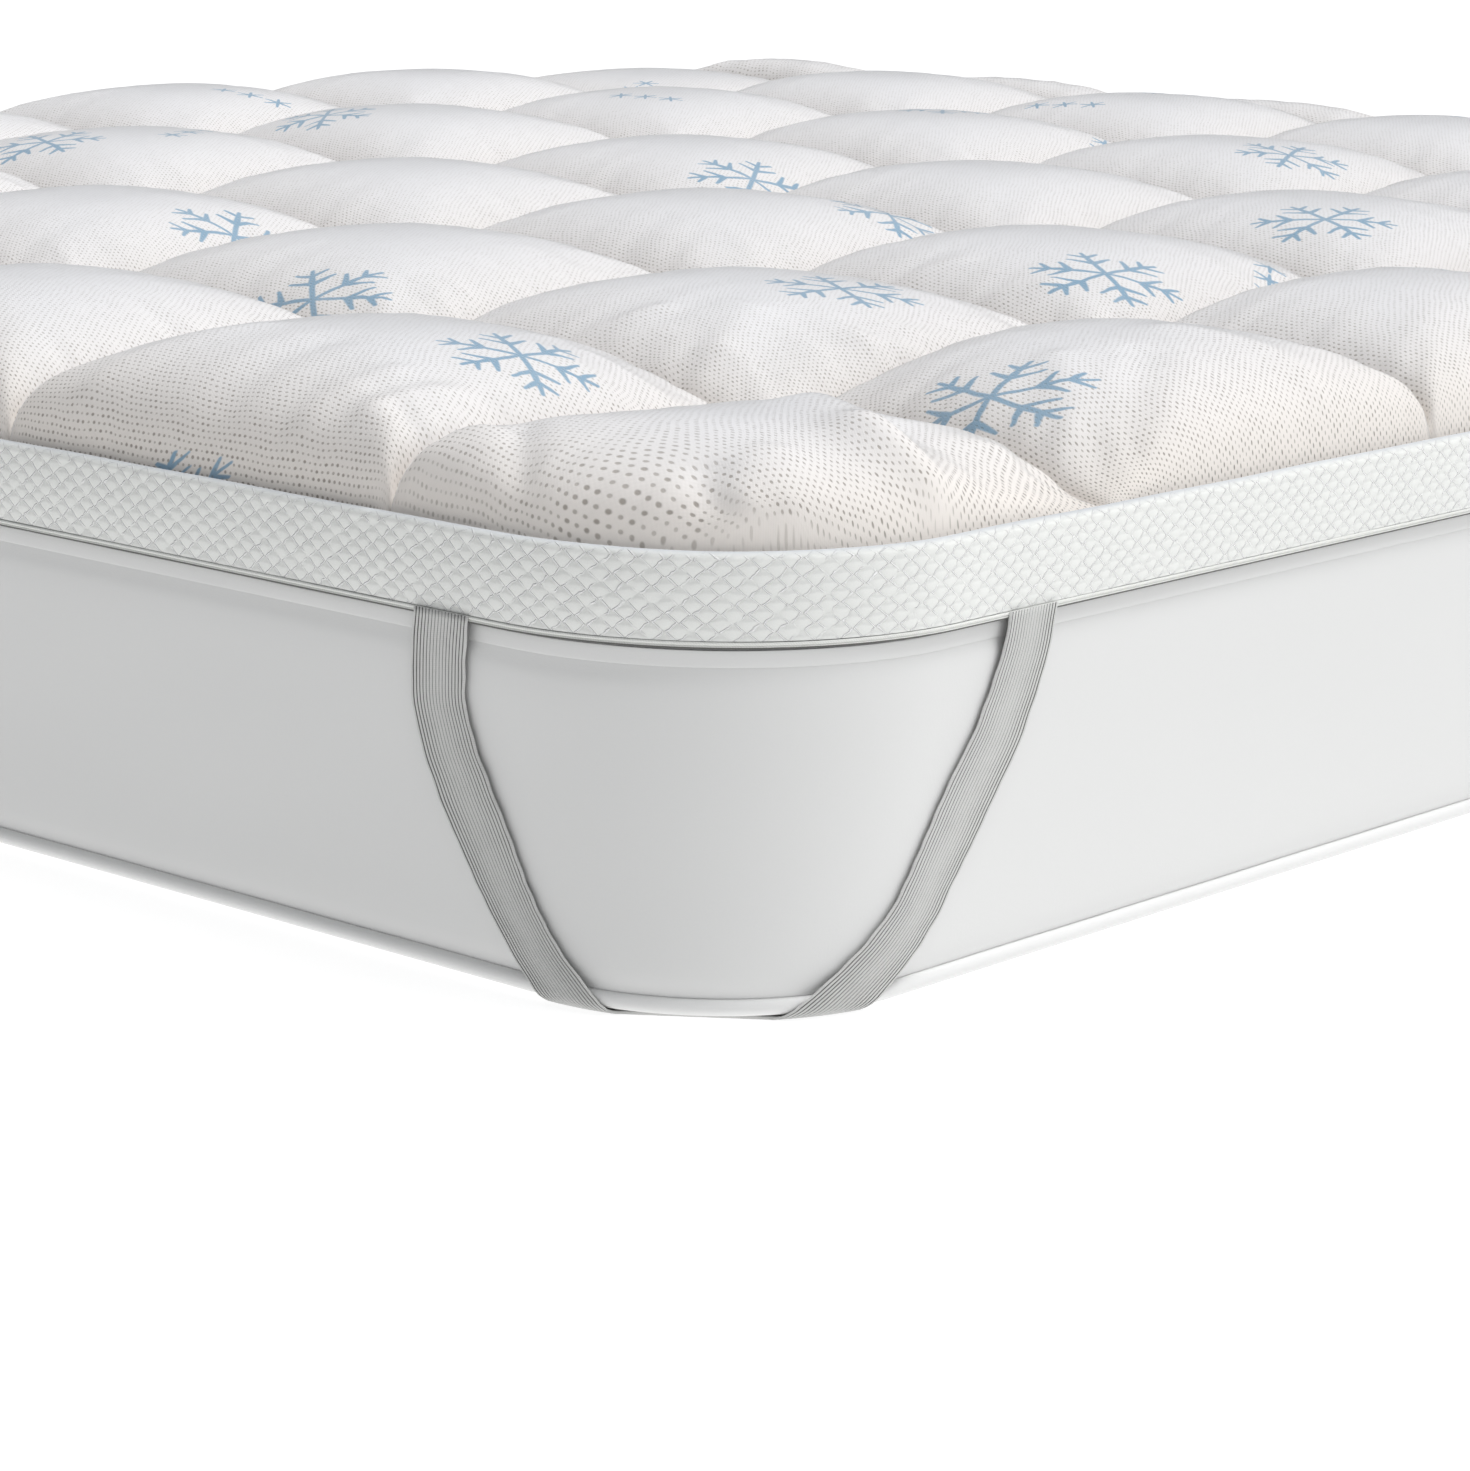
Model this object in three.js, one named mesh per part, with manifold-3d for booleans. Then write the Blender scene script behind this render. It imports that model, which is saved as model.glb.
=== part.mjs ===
// A quilted mattress topper held on a plain mattress by an elastic strap at each corner.
// Millimetres, +Z up. The origin is the middle of the mattress's underside, +X runs across
// the bed and +Y along it. The mattress stands on z = 0.
import * as THREE from 'three';
import { mergeVertices } from 'three/addons/utils/BufferGeometryUtils.js';
import Module from 'manifold-3d';

// ---- Driving dimensions -------------------------------------------------------------------

// The whole bed size, over the topper's border.
const BED_WIDTH = 1800;
const BED_LENGTH = 2000;

// Insets are measured inwards from the border's outer face, all round.
const GAP = 0.3;

// Mattress: a body with a piping roll sewn round its upper and lower edge.
const MATTRESS_HEIGHT = 189.5;
const MATTRESS_TOP_CORNER = 160;
const MATTRESS_BOTTOM_CORNER = 132;
const PIPING_RADIUS = 4.4;
const PIPING_BACK = 4.4;
const UPPER_PIPING_HEIGHT = 184.7;
const PIPING_TURNS = 6;
const SIDE_BULGE = 3.2;

// Places up the bulging side, as shares of the height between the pipings.
const BULGE_SHARES = [0, 0.1, 0.3, 0.5, 0.7, 0.9, 1];

// The body's rounded edges: how far in from the side, and up from the underside or down from
// the top, each place lies.
const LOWER_EDGE = [
  { inwards: 5, up: 0 },
  { inwards: 1.75, up: 1 },
  { inwards: 0, up: 3.5 },
];
const UPPER_EDGE = [
  { inwards: 0, down: 1.5 },
  { inwards: 1.75, down: 0 },
];

// Topper: it lies on the mattress, base up from there.
const TOPPER_BASE = 190;
const TOPPER_CORNER = 166;
const TAPE_HEIGHT = 3.8;
const TAPE_DEPTH = 3.7;
const TAPE_PROUD = 0.5;
const TAPE_EDGE_INSET = 0.2;
const TAPE_BEVEL = 0.9;
const BORDER_HEIGHT = 49;
const BORDER_THICKNESS = 3;
const RIM_WIDTH = 10;
const RIM_TURNS = 5;

// Quilt: boxes between sewn channels. The channels count from the foot of the bed, -Y, and
// from the right-hand side, +X.
const PAD_SIDE_INSET = 3.9;
const QUILT_INSET = 10.9;
const CHANNEL_LEVEL = 40.7;
const CROWN = 79;
const SIDE_SQUARENESS = 2.6;
const CROWN_FULLNESS = 0.35;
const CORNER_FULLNESS = 1.5;
const FIRST_BOX_ACROSS = 256.5;
const BOX_ACROSS = 309.4;
const CHANNELS_ACROSS = 5;
const FIRST_BOX_ALONG = 311;
const BOX_ALONG = 313.3;
const CHANNELS_ALONG = 6;
const CELLS_IN_A_BOX = 6;
const BORDER_BOX_CROWN = 0.94;
const CORNER_BOX_CROWN = 0.76;
const NARROW_BOX_LOSS = 0.08;
const UNEVENNESS = 0.03;
const UNEVEN_ACROSS = 2.3;
const UNEVEN_ALONG = 4.1;
const SHOULDER_DROP = 0.6;

// Elastic straps, one at each corner.
const STRAP_WIDTH = 40;
const STRAP_THICKNESS = 1.5;
const STRAP_LIFT_AT_TAPE = 0.8;
const STRAP_LIFT_AT_PIPING = 1.1;
const STRAP_COLUMNS = 4;
const RECESS_SIDE_GAP = 0.8;
const RECESS_START = -1;

// The middle of the lower piping's back, high enough for a strap to lie flat under the mattress.
const LOWER_PIPING_HEIGHT = PIPING_RADIUS + STRAP_LIFT_AT_PIPING + STRAP_THICKNESS;

// Where a strap's middle runs on the mattress side: its distance from the middle of the rounded
// corner, measured along the side, at each height. One table for the strap's end on the long
// side of the bed, one for its end on the short side.
const STRAP_ON_SHORT_SIDE = [
  { height: 194, distance: 176 },
  { height: 170, distance: 177.5 },
  { height: 146, distance: 177 },
  { height: 121, distance: 169 },
  { height: 97, distance: 156.5 },
  { height: 78, distance: 144 },
  { height: 59, distance: 131 },
  { height: 43, distance: 119 },
  { height: 27, distance: 105 },
  { height: 13, distance: 91 },
];
const STRAP_ON_LONG_SIDE = [
  { height: 194, distance: 199 },
  { height: 173, distance: 188 },
  { height: 153, distance: 176.5 },
  { height: 129, distance: 161.5 },
  { height: 105, distance: 145 },
  { height: 84, distance: 128.5 },
  { height: 64, distance: 111 },
  { height: 48, distance: 94 },
  { height: 33, distance: 75.5 },
  { height: 16, distance: 54 },
];
const WRAP_STEPS = 3;

const CORNER_STEPS = 12;

const COLOURS = {
  quilt: 0xf1efec,
  mesh: 0xdfe2df,
  tape: 0xe6e7e3,
  strap: 0xa9abac,
  mattress: 0xe4e4e4,
  piping: 0xececec,
};

// ---- Outline and lofting helpers ----------------------------------------------------------

const halfWidth = BED_WIDTH / 2;
const halfLength = BED_LENGTH / 2;

// Stations round the bed, counter-clockwise from the +X side: the point of the outer face and
// the direction that points outwards there.
function stationsRound(cornerRadius) {
  const stations = [];
  const corners = [
    { signX: 1, signY: 1, start: 0 },
    { signX: -1, signY: 1, start: 90 },
    { signX: -1, signY: -1, start: 180 },
    { signX: 1, signY: -1, start: 270 },
  ];
  for (const { signX, signY, start } of corners) {
    const centre = new THREE.Vector2(
      signX * (halfWidth - cornerRadius),
      signY * (halfLength - cornerRadius),
    );
    for (let step = 0; step <= CORNER_STEPS; step += 1) {
      const angle = THREE.MathUtils.degToRad(start + 90 * step / CORNER_STEPS);
      const outward = new THREE.Vector2(Math.cos(angle), Math.sin(angle));
      const point = centre.clone().addScaledVector(outward, cornerRadius);
      stations.push({ point, outward });
    }
  }
  return stations;
}

// One closed row of points at an inset and a height.
function ringRow({ inset, height, cornerRadius }) {
  return stationsRound(cornerRadius).map(({ point, outward }) => new THREE.Vector3(
    point.x - outward.x * inset,
    point.y - outward.y * inset,
    height,
  ));
}

function geometryFrom(points, faces) {
  const geometry = new THREE.BufferGeometry();
  const position = new Float32Array(points.flatMap((point) => [point.x, point.y, point.z]));
  geometry.setAttribute('position', new THREE.BufferAttribute(position, 3));
  geometry.setIndex(faces.flat());
  return geometry;
}

// Two triangles for each cell between neighbouring rows of equal length.
function skinRows(rows, closedRows, closedLoop) {
  const faces = [];
  const length = rows[0].length;
  const rowSteps = closedLoop ? rows.length : rows.length - 1;
  const columnSteps = closedRows ? length : length - 1;
  for (let row = 0; row < rowSteps; row += 1) {
    for (let column = 0; column < columnSteps; column += 1) {
      const nextRow = (row + 1) % rows.length;
      const nextColumn = (column + 1) % length;
      const a = row * length + column;
      const b = row * length + nextColumn;
      const c = nextRow * length + nextColumn;
      const d = nextRow * length + column;
      faces.push([a, b, c], [a, c, d]);
    }
  }
  return faces;
}

// A flat cap over one row, as a fan from its first point.
function capRow(start, length, facingUp) {
  const faces = [];
  for (let step = 1; step < length - 1; step += 1) {
    const face = [start, start + step, start + step + 1];
    faces.push(facingUp ? face : face.reverse());
  }
  return faces;
}

// A solid between a lowest and a highest row.
function solidFromRows(rowSizes) {
  const rows = rowSizes.map(ringRow);
  const length = rows[0].length;
  const faces = [
    ...capRow(0, length, false),
    ...skinRows(rows, true, false),
    ...capRow((rows.length - 1) * length, length, true),
  ];
  return geometryFrom(rows.flat(), faces);
}

// A ring with the given section, its corners listed from the outside upwards and back down.
function ringFromSection(section, cornerRadius, base) {
  const rows = section.map(([inset, height]) => ringRow({
    inset, height: base + height, cornerRadius,
  }));
  return geometryFrom(rows.flat(), skinRows(rows, true, true));
}

// ---- Manifold helpers ---------------------------------------------------------------------

const wasm = await Module();
wasm.setup();

function toManifold(geometry) {
  const bare = geometry.clone();
  bare.deleteAttribute('normal');
  bare.deleteAttribute('uv');
  const merged = mergeVertices(bare);
  return new wasm.Manifold(new wasm.Mesh({
    numProp: 3,
    vertProperties: new Float32Array(merged.attributes.position.array),
    triVerts: new Uint32Array(merged.index.array),
  }));
}

function fromManifold(solid) {
  const { vertProperties, triVerts } = solid.getMesh();
  const geometry = new THREE.BufferGeometry();
  geometry.setAttribute('position', new THREE.BufferAttribute(vertProperties, 3));
  geometry.setIndex(new THREE.BufferAttribute(triVerts, 1));
  return geometry;
}

// ---- Mattress -----------------------------------------------------------------------------

// The corner is rounder at the top than at the bottom; it is even along each piping.
function mattressCorner(height) {
  const low = LOWER_PIPING_HEIGHT + PIPING_RADIUS;
  const high = UPPER_PIPING_HEIGHT - PIPING_RADIUS;
  const share = THREE.MathUtils.clamp((height - low) / (high - low), 0, 1);
  return THREE.MathUtils.lerp(MATTRESS_BOTTOM_CORNER, MATTRESS_TOP_CORNER, share);
}

function mattressBodyRows() {
  const wallInset = PIPING_BACK + GAP;
  const low = LOWER_PIPING_HEIGHT + PIPING_RADIUS;
  const high = UPPER_PIPING_HEIGHT - PIPING_RADIUS;
  const rows = LOWER_EDGE.map(({ inwards, up }) => ({ inset: wallInset + inwards, height: up }));
  for (const share of BULGE_SHARES) {
    const fullness = Math.sqrt(1 - (2 * share - 1) ** 2);
    rows.push({
      inset: wallInset - SIDE_BULGE * fullness,
      height: THREE.MathUtils.lerp(low, high, share),
    });
  }
  rows.push(...UPPER_EDGE.map(({ inwards, down }) => ({
    inset: wallInset + inwards, height: MATTRESS_HEIGHT - down,
  })));
  return rows.map((row) => ({ ...row, cornerRadius: mattressCorner(row.height) }));
}

// A half-round roll with a flat back against the body.
function pipingSection() {
  const section = [];
  for (let step = 0; step <= PIPING_TURNS; step += 1) {
    const angle = THREE.MathUtils.degToRad(-90 + 180 * step / PIPING_TURNS);
    section.push([
      PIPING_BACK - PIPING_RADIUS * Math.cos(angle),
      PIPING_RADIUS * Math.sin(angle),
    ]);
  }
  return section;
}

// ---- Topper border ------------------------------------------------------------------------

function tapeSection() {
  return [
    [TAPE_EDGE_INSET, 0],
    [-TAPE_PROUD, TAPE_BEVEL],
    [-TAPE_PROUD, TAPE_HEIGHT - TAPE_BEVEL],
    [TAPE_EDGE_INSET, TAPE_HEIGHT],
    [TAPE_DEPTH - TAPE_PROUD, TAPE_HEIGHT],
    [TAPE_DEPTH - TAPE_PROUD, 0],
  ];
}

// The band stands on the tape and rolls inwards along its upper edge, where the quilt is sewn.
function borderSection() {
  const foot = TAPE_HEIGHT + GAP;
  const rimMiddle = RIM_WIDTH / 2;
  const rimHeight = BORDER_HEIGHT - rimMiddle;
  const innerRadius = rimMiddle - BORDER_THICKNESS;
  const section = [[0, foot]];
  for (let step = 0; step <= RIM_TURNS; step += 1) {
    const angle = Math.PI * step / RIM_TURNS;
    section.push([
      rimMiddle - rimMiddle * Math.cos(angle),
      rimHeight + rimMiddle * Math.sin(angle),
    ]);
  }
  for (let step = RIM_TURNS; step >= 0; step -= 1) {
    const angle = Math.PI * step / RIM_TURNS;
    section.push([
      rimMiddle - innerRadius * Math.cos(angle),
      rimHeight + innerRadius * Math.sin(angle),
    ]);
  }
  section.push([BORDER_THICKNESS, foot]);
  return section;
}

// ---- Quilted pad --------------------------------------------------------------------------

// Channel places between the two quilt edges, from the first edge inwards.
function channelPlaces(overall, first, pitch, count) {
  const places = [QUILT_INSET];
  for (let channel = 0; channel < count; channel += 1) {
    places.push(first + channel * pitch);
  }
  places.push(overall - QUILT_INSET);
  return places;
}

// Grid lines over the boxes of one direction: place, box number and place inside the box, -1 to 1.
// Lines crowd towards the channels, where the crown falls away fastest.
function gridLines(places) {
  const lines = [];
  for (let box = 0; box < places.length - 1; box += 1) {
    const middle = (places[box] + places[box + 1]) / 2;
    const half = (places[box + 1] - places[box]) / 2;
    for (let cell = 0; cell < CELLS_IN_A_BOX; cell += 1) {
      const across = -Math.cos(Math.PI * cell / CELLS_IN_A_BOX);
      lines.push({ place: middle + half * across, box, across, size: 2 * half });
    }
  }
  const last = places.length - 2;
  lines.push({
    place: places[last + 1], box: last, across: 1, size: places[last + 1] - places[last],
  });
  return lines;
}

function crownOf(lineAcross, lineAlong) {
  const narrowest = Math.min(lineAcross.size / BOX_ACROSS, lineAlong.size / BOX_ALONG, 1);
  const atEndAcross = lineAcross.box === 0 || lineAcross.box === CHANNELS_ACROSS;
  const atEndAlong = lineAlong.box === 0 || lineAlong.box === CHANNELS_ALONG;
  const share = atEndAcross && atEndAlong ? CORNER_BOX_CROWN
    : atEndAcross || atEndAlong ? BORDER_BOX_CROWN
      : 1;
  const wave = Math.sin(UNEVEN_ACROSS * lineAcross.box + UNEVEN_ALONG * lineAlong.box);
  return CROWN * share * (1 - NARROW_BOX_LOSS * (1 - narrowest)) * (1 + UNEVENNESS * wave);
}

// How far the cloth stands up at a place in a box, from 0 on a channel to 1 in the middle. Both
// places run from -1 to 1.
function fullness(across, along) {
  const gapAcross = 1 - Math.abs(across) ** SIDE_SQUARENESS;
  const gapAlong = 1 - Math.abs(along) ** SIDE_SQUARENESS;
  if (gapAcross <= 0 || gapAlong <= 0) {
    return 0;
  }
  const hold = gapAcross ** -CORNER_FULLNESS + gapAlong ** -CORNER_FULLNESS - 1;
  return hold ** (-CROWN_FULLNESS / CORNER_FULLNESS);
}

// Squeezes the square corner of a grid into the round corner of the outline.
function roundedPlan(x, y, inset) {
  const radius = TOPPER_CORNER - inset;
  const centreX = halfWidth - TOPPER_CORNER;
  const centreY = halfLength - TOPPER_CORNER;
  const across = (Math.abs(x) - centreX) / radius;
  const along = (Math.abs(y) - centreY) / radius;
  if (across <= 0 || along <= 0) {
    return new THREE.Vector2(x, y);
  }
  return new THREE.Vector2(
    Math.sign(x) * (centreX + radius * across * Math.sqrt(1 - along * along / 2)),
    Math.sign(y) * (centreY + radius * along * Math.sqrt(1 - across * across / 2)),
  );
}

// Moves a point of the quilt's edge straight out to another inset.
function movedOut(point, inset, height) {
  const centreX = halfWidth - TOPPER_CORNER;
  const centreY = halfLength - TOPPER_CORNER;
  const outward = new THREE.Vector2(
    Math.sign(point.x) * Math.max(0, Math.abs(point.x) - centreX),
    Math.sign(point.y) * Math.max(0, Math.abs(point.y) - centreY),
  );
  outward.normalize();
  const distance = QUILT_INSET - inset;
  return new THREE.Vector3(
    point.x + outward.x * distance,
    point.y + outward.y * distance,
    height,
  );
}

function quiltedPad() {
  const linesAcross = gridLines(
    channelPlaces(BED_WIDTH, FIRST_BOX_ACROSS, BOX_ACROSS, CHANNELS_ACROSS),
  ).reverse();
  const linesAlong = gridLines(
    channelPlaces(BED_LENGTH, FIRST_BOX_ALONG, BOX_ALONG, CHANNELS_ALONG),
  );
  const rows = linesAlong.map((lineAlong) => linesAcross.map((lineAcross) => {
    const plan = roundedPlan(
      halfWidth - lineAcross.place, lineAlong.place - halfLength, QUILT_INSET,
    );
    const lift = crownOf(lineAcross, lineAlong)
      * fullness(lineAcross.across, lineAlong.across);
    return new THREE.Vector3(plan.x, plan.y, TOPPER_BASE + CHANNEL_LEVEL + lift);
  }));
  const columns = linesAcross.length;
  const lastRow = rows.length - 1;
  const lastColumn = columns - 1;

  // The edge of the quilt, counter-clockwise, as row and column pairs.
  const edge = [];
  for (let column = 0; column < lastColumn; column += 1) edge.push([0, column]);
  for (let row = 0; row < lastRow; row += 1) edge.push([row, lastColumn]);
  for (let column = lastColumn; column > 0; column -= 1) edge.push([lastRow, column]);
  for (let row = lastRow; row > 0; row -= 1) edge.push([row, 0]);

  const points = rows.flat();
  const faces = skinRows(rows, false, false);
  const shoulder = TOPPER_BASE + CHANNEL_LEVEL - SHOULDER_DROP;
  const wallHeights = [shoulder, TOPPER_BASE];
  let upperStart = null;
  for (const height of wallHeights) {
    const start = points.length;
    for (const [row, column] of edge) {
      points.push(movedOut(rows[row][column], PAD_SIDE_INSET, height));
    }
    for (let step = 0; step < edge.length; step += 1) {
      const next = (step + 1) % edge.length;
      const upper = (place) => (upperStart === null
        ? edge[place][0] * columns + edge[place][1]
        : upperStart + place);
      faces.push(
        [start + step, start + next, upper(next)],
        [start + step, upper(next), upper(step)],
      );
    }
    upperStart = start;
  }
  faces.push(...capRow(upperStart, edge.length, false));
  return geometryFrom(points, faces);
}

// ---- Elastic straps -----------------------------------------------------------------------

// The corners, each as the signs of its X and Y.
const STRAP_CORNERS = [
  { name: 'strap_foot_right', signX: 1, signY: -1 },
  { name: 'strap_foot_left', signX: -1, signY: -1 },
  { name: 'strap_head_right', signX: 1, signY: 1 },
  { name: 'strap_head_left', signX: -1, signY: 1 },
];

// A place on the mattress side: distance from the corner's middle, positive towards the long
// side of the bed, height, and how far it stands out from the outer face.
function sidePoint(distance, height, standOff, cornerRadius) {
  const halfArc = cornerRadius * Math.PI / 4;
  const along = Math.abs(distance);
  const turn = Math.min(along, halfArc) / cornerRadius;
  const straight = Math.max(0, along - halfArc);
  const angle = Math.PI / 4 - turn;
  const reach = cornerRadius + standOff;
  const towards = -cornerRadius + reach * Math.cos(angle);
  const away = -cornerRadius + reach * Math.sin(angle) - straight;
  const [x, y] = distance > 0 ? [towards, away] : [away, towards];
  return new THREE.Vector3(halfWidth + x, halfLength + y, height);
}

// Rows of one end of a strap, from the border down and round the lower piping. Each row holds
// the points across the strap's width, the one nearest the corner last.
function strapEndRows(table, side, width, lift) {
  const rows = [];
  const topLift = STRAP_LIFT_AT_TAPE + lift;
  const bottomLift = STRAP_LIFT_AT_PIPING + lift;
  const wrapHeight = LOWER_PIPING_HEIGHT;
  const places = [...table];
  const lowest = table[table.length - 1];
  const before = table[table.length - 2];
  const slope = (before.distance - lowest.distance) / (before.height - lowest.height);
  places.push({
    height: wrapHeight,
    distance: lowest.distance - slope * (lowest.height - wrapHeight),
  });
  const acrossShares = Array.from(
    { length: STRAP_COLUMNS + 1 }, (_, column) => column / STRAP_COLUMNS - 0.5,
  );
  const slopeAt = (place) => {
    const upper = places[Math.max(place - 1, 0)];
    const lower = places[Math.min(place + 1, places.length - 1)];
    return (upper.distance - lower.distance) / (upper.height - lower.height);
  };
  places.forEach(({ height, distance }, place) => {
    const slant = Math.hypot(1, slopeAt(place));
    const share = (height - wrapHeight) / (TOPPER_BASE - wrapHeight);
    const standOff = THREE.MathUtils.lerp(bottomLift, topLift, Math.min(share, 1));
    rows.push(acrossShares.map((across) => sidePoint(
      side * (distance - across * width * slant), height, standOff, mattressCorner(height),
    )));
  });
  const bend = PIPING_RADIUS + bottomLift;
  const slant = Math.hypot(1, slope);
  const wrapStart = places[places.length - 1].distance;
  for (let step = 1; step <= WRAP_STEPS; step += 1) {
    const angle = (Math.PI / 2) * step / WRAP_STEPS;
    const distance = wrapStart - slope * bend * angle;
    rows.push(acrossShares.map((across) => sidePoint(
      side * (distance - across * width * slant),
      wrapHeight - bend * Math.sin(angle),
      bend * Math.cos(angle) - PIPING_BACK,
      MATTRESS_BOTTOM_CORNER,
    )));
  }
  return rows;
}

// Both faces of a strap are rows of points; the underside runs straight between its two ends.
function strapFace(width, lift) {
  const shortEnd = strapEndRows(STRAP_ON_SHORT_SIDE, -1, width, lift);
  const longEnd = strapEndRows(STRAP_ON_LONG_SIDE, 1, width, lift);
  return [...shortEnd, ...longEnd.reverse()];
}

function mirrored(point, { signX, signY }) {
  return new THREE.Vector3(point.x * signX, point.y * signY, point.z);
}

function strap(corner) {
  const inner = strapFace(STRAP_WIDTH, 0);
  const outer = strapFace(STRAP_WIDTH, STRAP_THICKNESS);
  // One closed loop of points round each cross-section.
  const loops = inner.map((row, place) => [...row, ...outer[place].reverse()]);
  const points = loops.flat().map((point) => mirrored(point, corner));
  const loopLength = loops[0].length;
  const lastStart = (loops.length - 1) * loopLength;
  const faces = skinRows(loops, true, false);
  for (let column = 0; column < STRAP_COLUMNS; column += 1) {
    const opposite = loopLength - 1 - column;
    faces.push(
      [column, opposite - 1, column + 1],
      [column, opposite, opposite - 1],
      [lastStart + column, lastStart + column + 1, lastStart + opposite - 1],
      [lastStart + column, lastStart + opposite - 1, lastStart + opposite],
    );
  }
  const mirroredOnce = corner.signX * corner.signY < 0;
  const outward = mirroredOnce ? faces : faces.map((face) => [...face].reverse());
  return geometryFrom(points, outward);
}

// The shallow recess that a strap lies in under the mattress.
function strapRecess(corner) {
  const face = strapFace(STRAP_WIDTH + 2 * RECESS_SIDE_GAP, 0);
  const shortEndRows = STRAP_ON_SHORT_SIDE.length + 1 + WRAP_STEPS;
  const underShortSide = face[shortEndRows - 1];
  const underLongSide = face[shortEndRows];
  const outline = [...underShortSide, ...underLongSide.reverse()]
    .map((point) => mirrored(point, corner));
  const shape = new THREE.Shape(outline.map((point) => new THREE.Vector2(point.x, point.y)));
  const depth = STRAP_THICKNESS + GAP - RECESS_START;
  const geometry = new THREE.ExtrudeGeometry(shape, { depth, bevelEnabled: false });
  return geometry.translate(0, 0, RECESS_START);
}

// ---- Assembly -----------------------------------------------------------------------------

function piece(name, geometry, color, roughness) {
  const material = new THREE.MeshStandardMaterial({ color, roughness, metalness: 0 });
  geometry.computeVertexNormals();
  const mesh = new THREE.Mesh(geometry, material);
  mesh.name = name;
  return mesh;
}

function mattressBody() {
  let body = toManifold(solidFromRows(mattressBodyRows()));
  for (const corner of STRAP_CORNERS) {
    body = body.subtract(toManifold(strapRecess(corner)));
  }
  return fromManifold(body);
}

function mattress() {
  const group = new THREE.Group();
  const lower = ringFromSection(pipingSection(), MATTRESS_BOTTOM_CORNER, LOWER_PIPING_HEIGHT);
  const upper = ringFromSection(pipingSection(), MATTRESS_TOP_CORNER, UPPER_PIPING_HEIGHT);
  group.add(piece('mattress_body', mattressBody(), COLOURS.mattress, 0.6));
  group.add(piece('mattress_lower_piping', lower, COLOURS.piping, 0.55));
  group.add(piece('mattress_upper_piping', upper, COLOURS.piping, 0.55));
  return group;
}

function topper() {
  const group = new THREE.Group();
  const tape = ringFromSection(tapeSection(), TOPPER_CORNER, TOPPER_BASE);
  const border = ringFromSection(borderSection(), TOPPER_CORNER, TOPPER_BASE);
  group.add(piece('quilted_pad', quiltedPad(), COLOURS.quilt, 0.9));
  group.add(piece('border_band', border, COLOURS.mesh, 0.85));
  group.add(piece('edge_tape', tape, COLOURS.tape, 0.7));
  for (const corner of STRAP_CORNERS) {
    group.add(piece(corner.name, strap(corner), COLOURS.strap, 0.75));
  }
  return group;
}

const bed = new THREE.Group();
bed.add(mattress(), topper());

export default bed;
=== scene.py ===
"""A quilted mattress topper on a plain mattress, held by an elastic strap at each corner."""

import math

import bpy
import numpy as np
from mathutils import Matrix, Vector


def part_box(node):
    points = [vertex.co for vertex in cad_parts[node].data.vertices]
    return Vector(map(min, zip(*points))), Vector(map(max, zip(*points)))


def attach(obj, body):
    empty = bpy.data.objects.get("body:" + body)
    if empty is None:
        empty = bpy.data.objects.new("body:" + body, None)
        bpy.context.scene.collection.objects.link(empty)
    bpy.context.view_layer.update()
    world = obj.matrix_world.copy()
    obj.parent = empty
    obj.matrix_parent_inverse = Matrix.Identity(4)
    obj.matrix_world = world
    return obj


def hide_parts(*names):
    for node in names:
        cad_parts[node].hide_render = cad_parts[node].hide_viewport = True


bl_info = {
    "name": "Quilted Mattress Topper",
    "version": (1, 0, 0),
    "blender": (4, 5, 0),
    "location": "3D View > Sidebar > Topper",
    "description": "Builds a quilted topper, its straps and the mattress under it",
    "category": "Add Mesh",
}

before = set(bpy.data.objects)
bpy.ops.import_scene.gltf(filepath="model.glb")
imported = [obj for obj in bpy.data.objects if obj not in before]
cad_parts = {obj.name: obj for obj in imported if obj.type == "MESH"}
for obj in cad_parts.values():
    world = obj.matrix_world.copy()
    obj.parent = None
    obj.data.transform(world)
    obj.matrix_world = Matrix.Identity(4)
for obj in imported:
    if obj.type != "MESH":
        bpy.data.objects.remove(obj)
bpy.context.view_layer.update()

BAND_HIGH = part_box("border_band")[1]
HALF_WIDTH = BAND_HIGH.x
HALF_LENGTH = BAND_HIGH.y
TOPPER_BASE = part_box("edge_tape")[0].z
MATTRESS_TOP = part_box("mattress_body")[1].z

MM = 0.001
SEED = 1907


# ---- Sizes and colours ------------------------------------------------------------------------


def tint(red, green, blue):
    """A display colour, 0 to 255, as the linear values that a shader takes."""
    linear = []
    for level in (red, green, blue):
        share = level / 255
        linear.append(share / 12.92 if share <= 0.04045 else ((share + 0.055) / 1.055) ** 2.4)
    return tuple(linear)


def length_property(name, description, default):
    """A length that the user can change."""
    return bpy.props.FloatProperty(
        name=name, description=description, default=default, min=0.0, unit="LENGTH", precision=4
    )


def colour_property(name, description, default):
    """A colour that the user can change."""
    return bpy.props.FloatVectorProperty(
        name=name, description=description, default=default, min=0.0, max=1.0, subtype="COLOR"
    )


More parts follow.
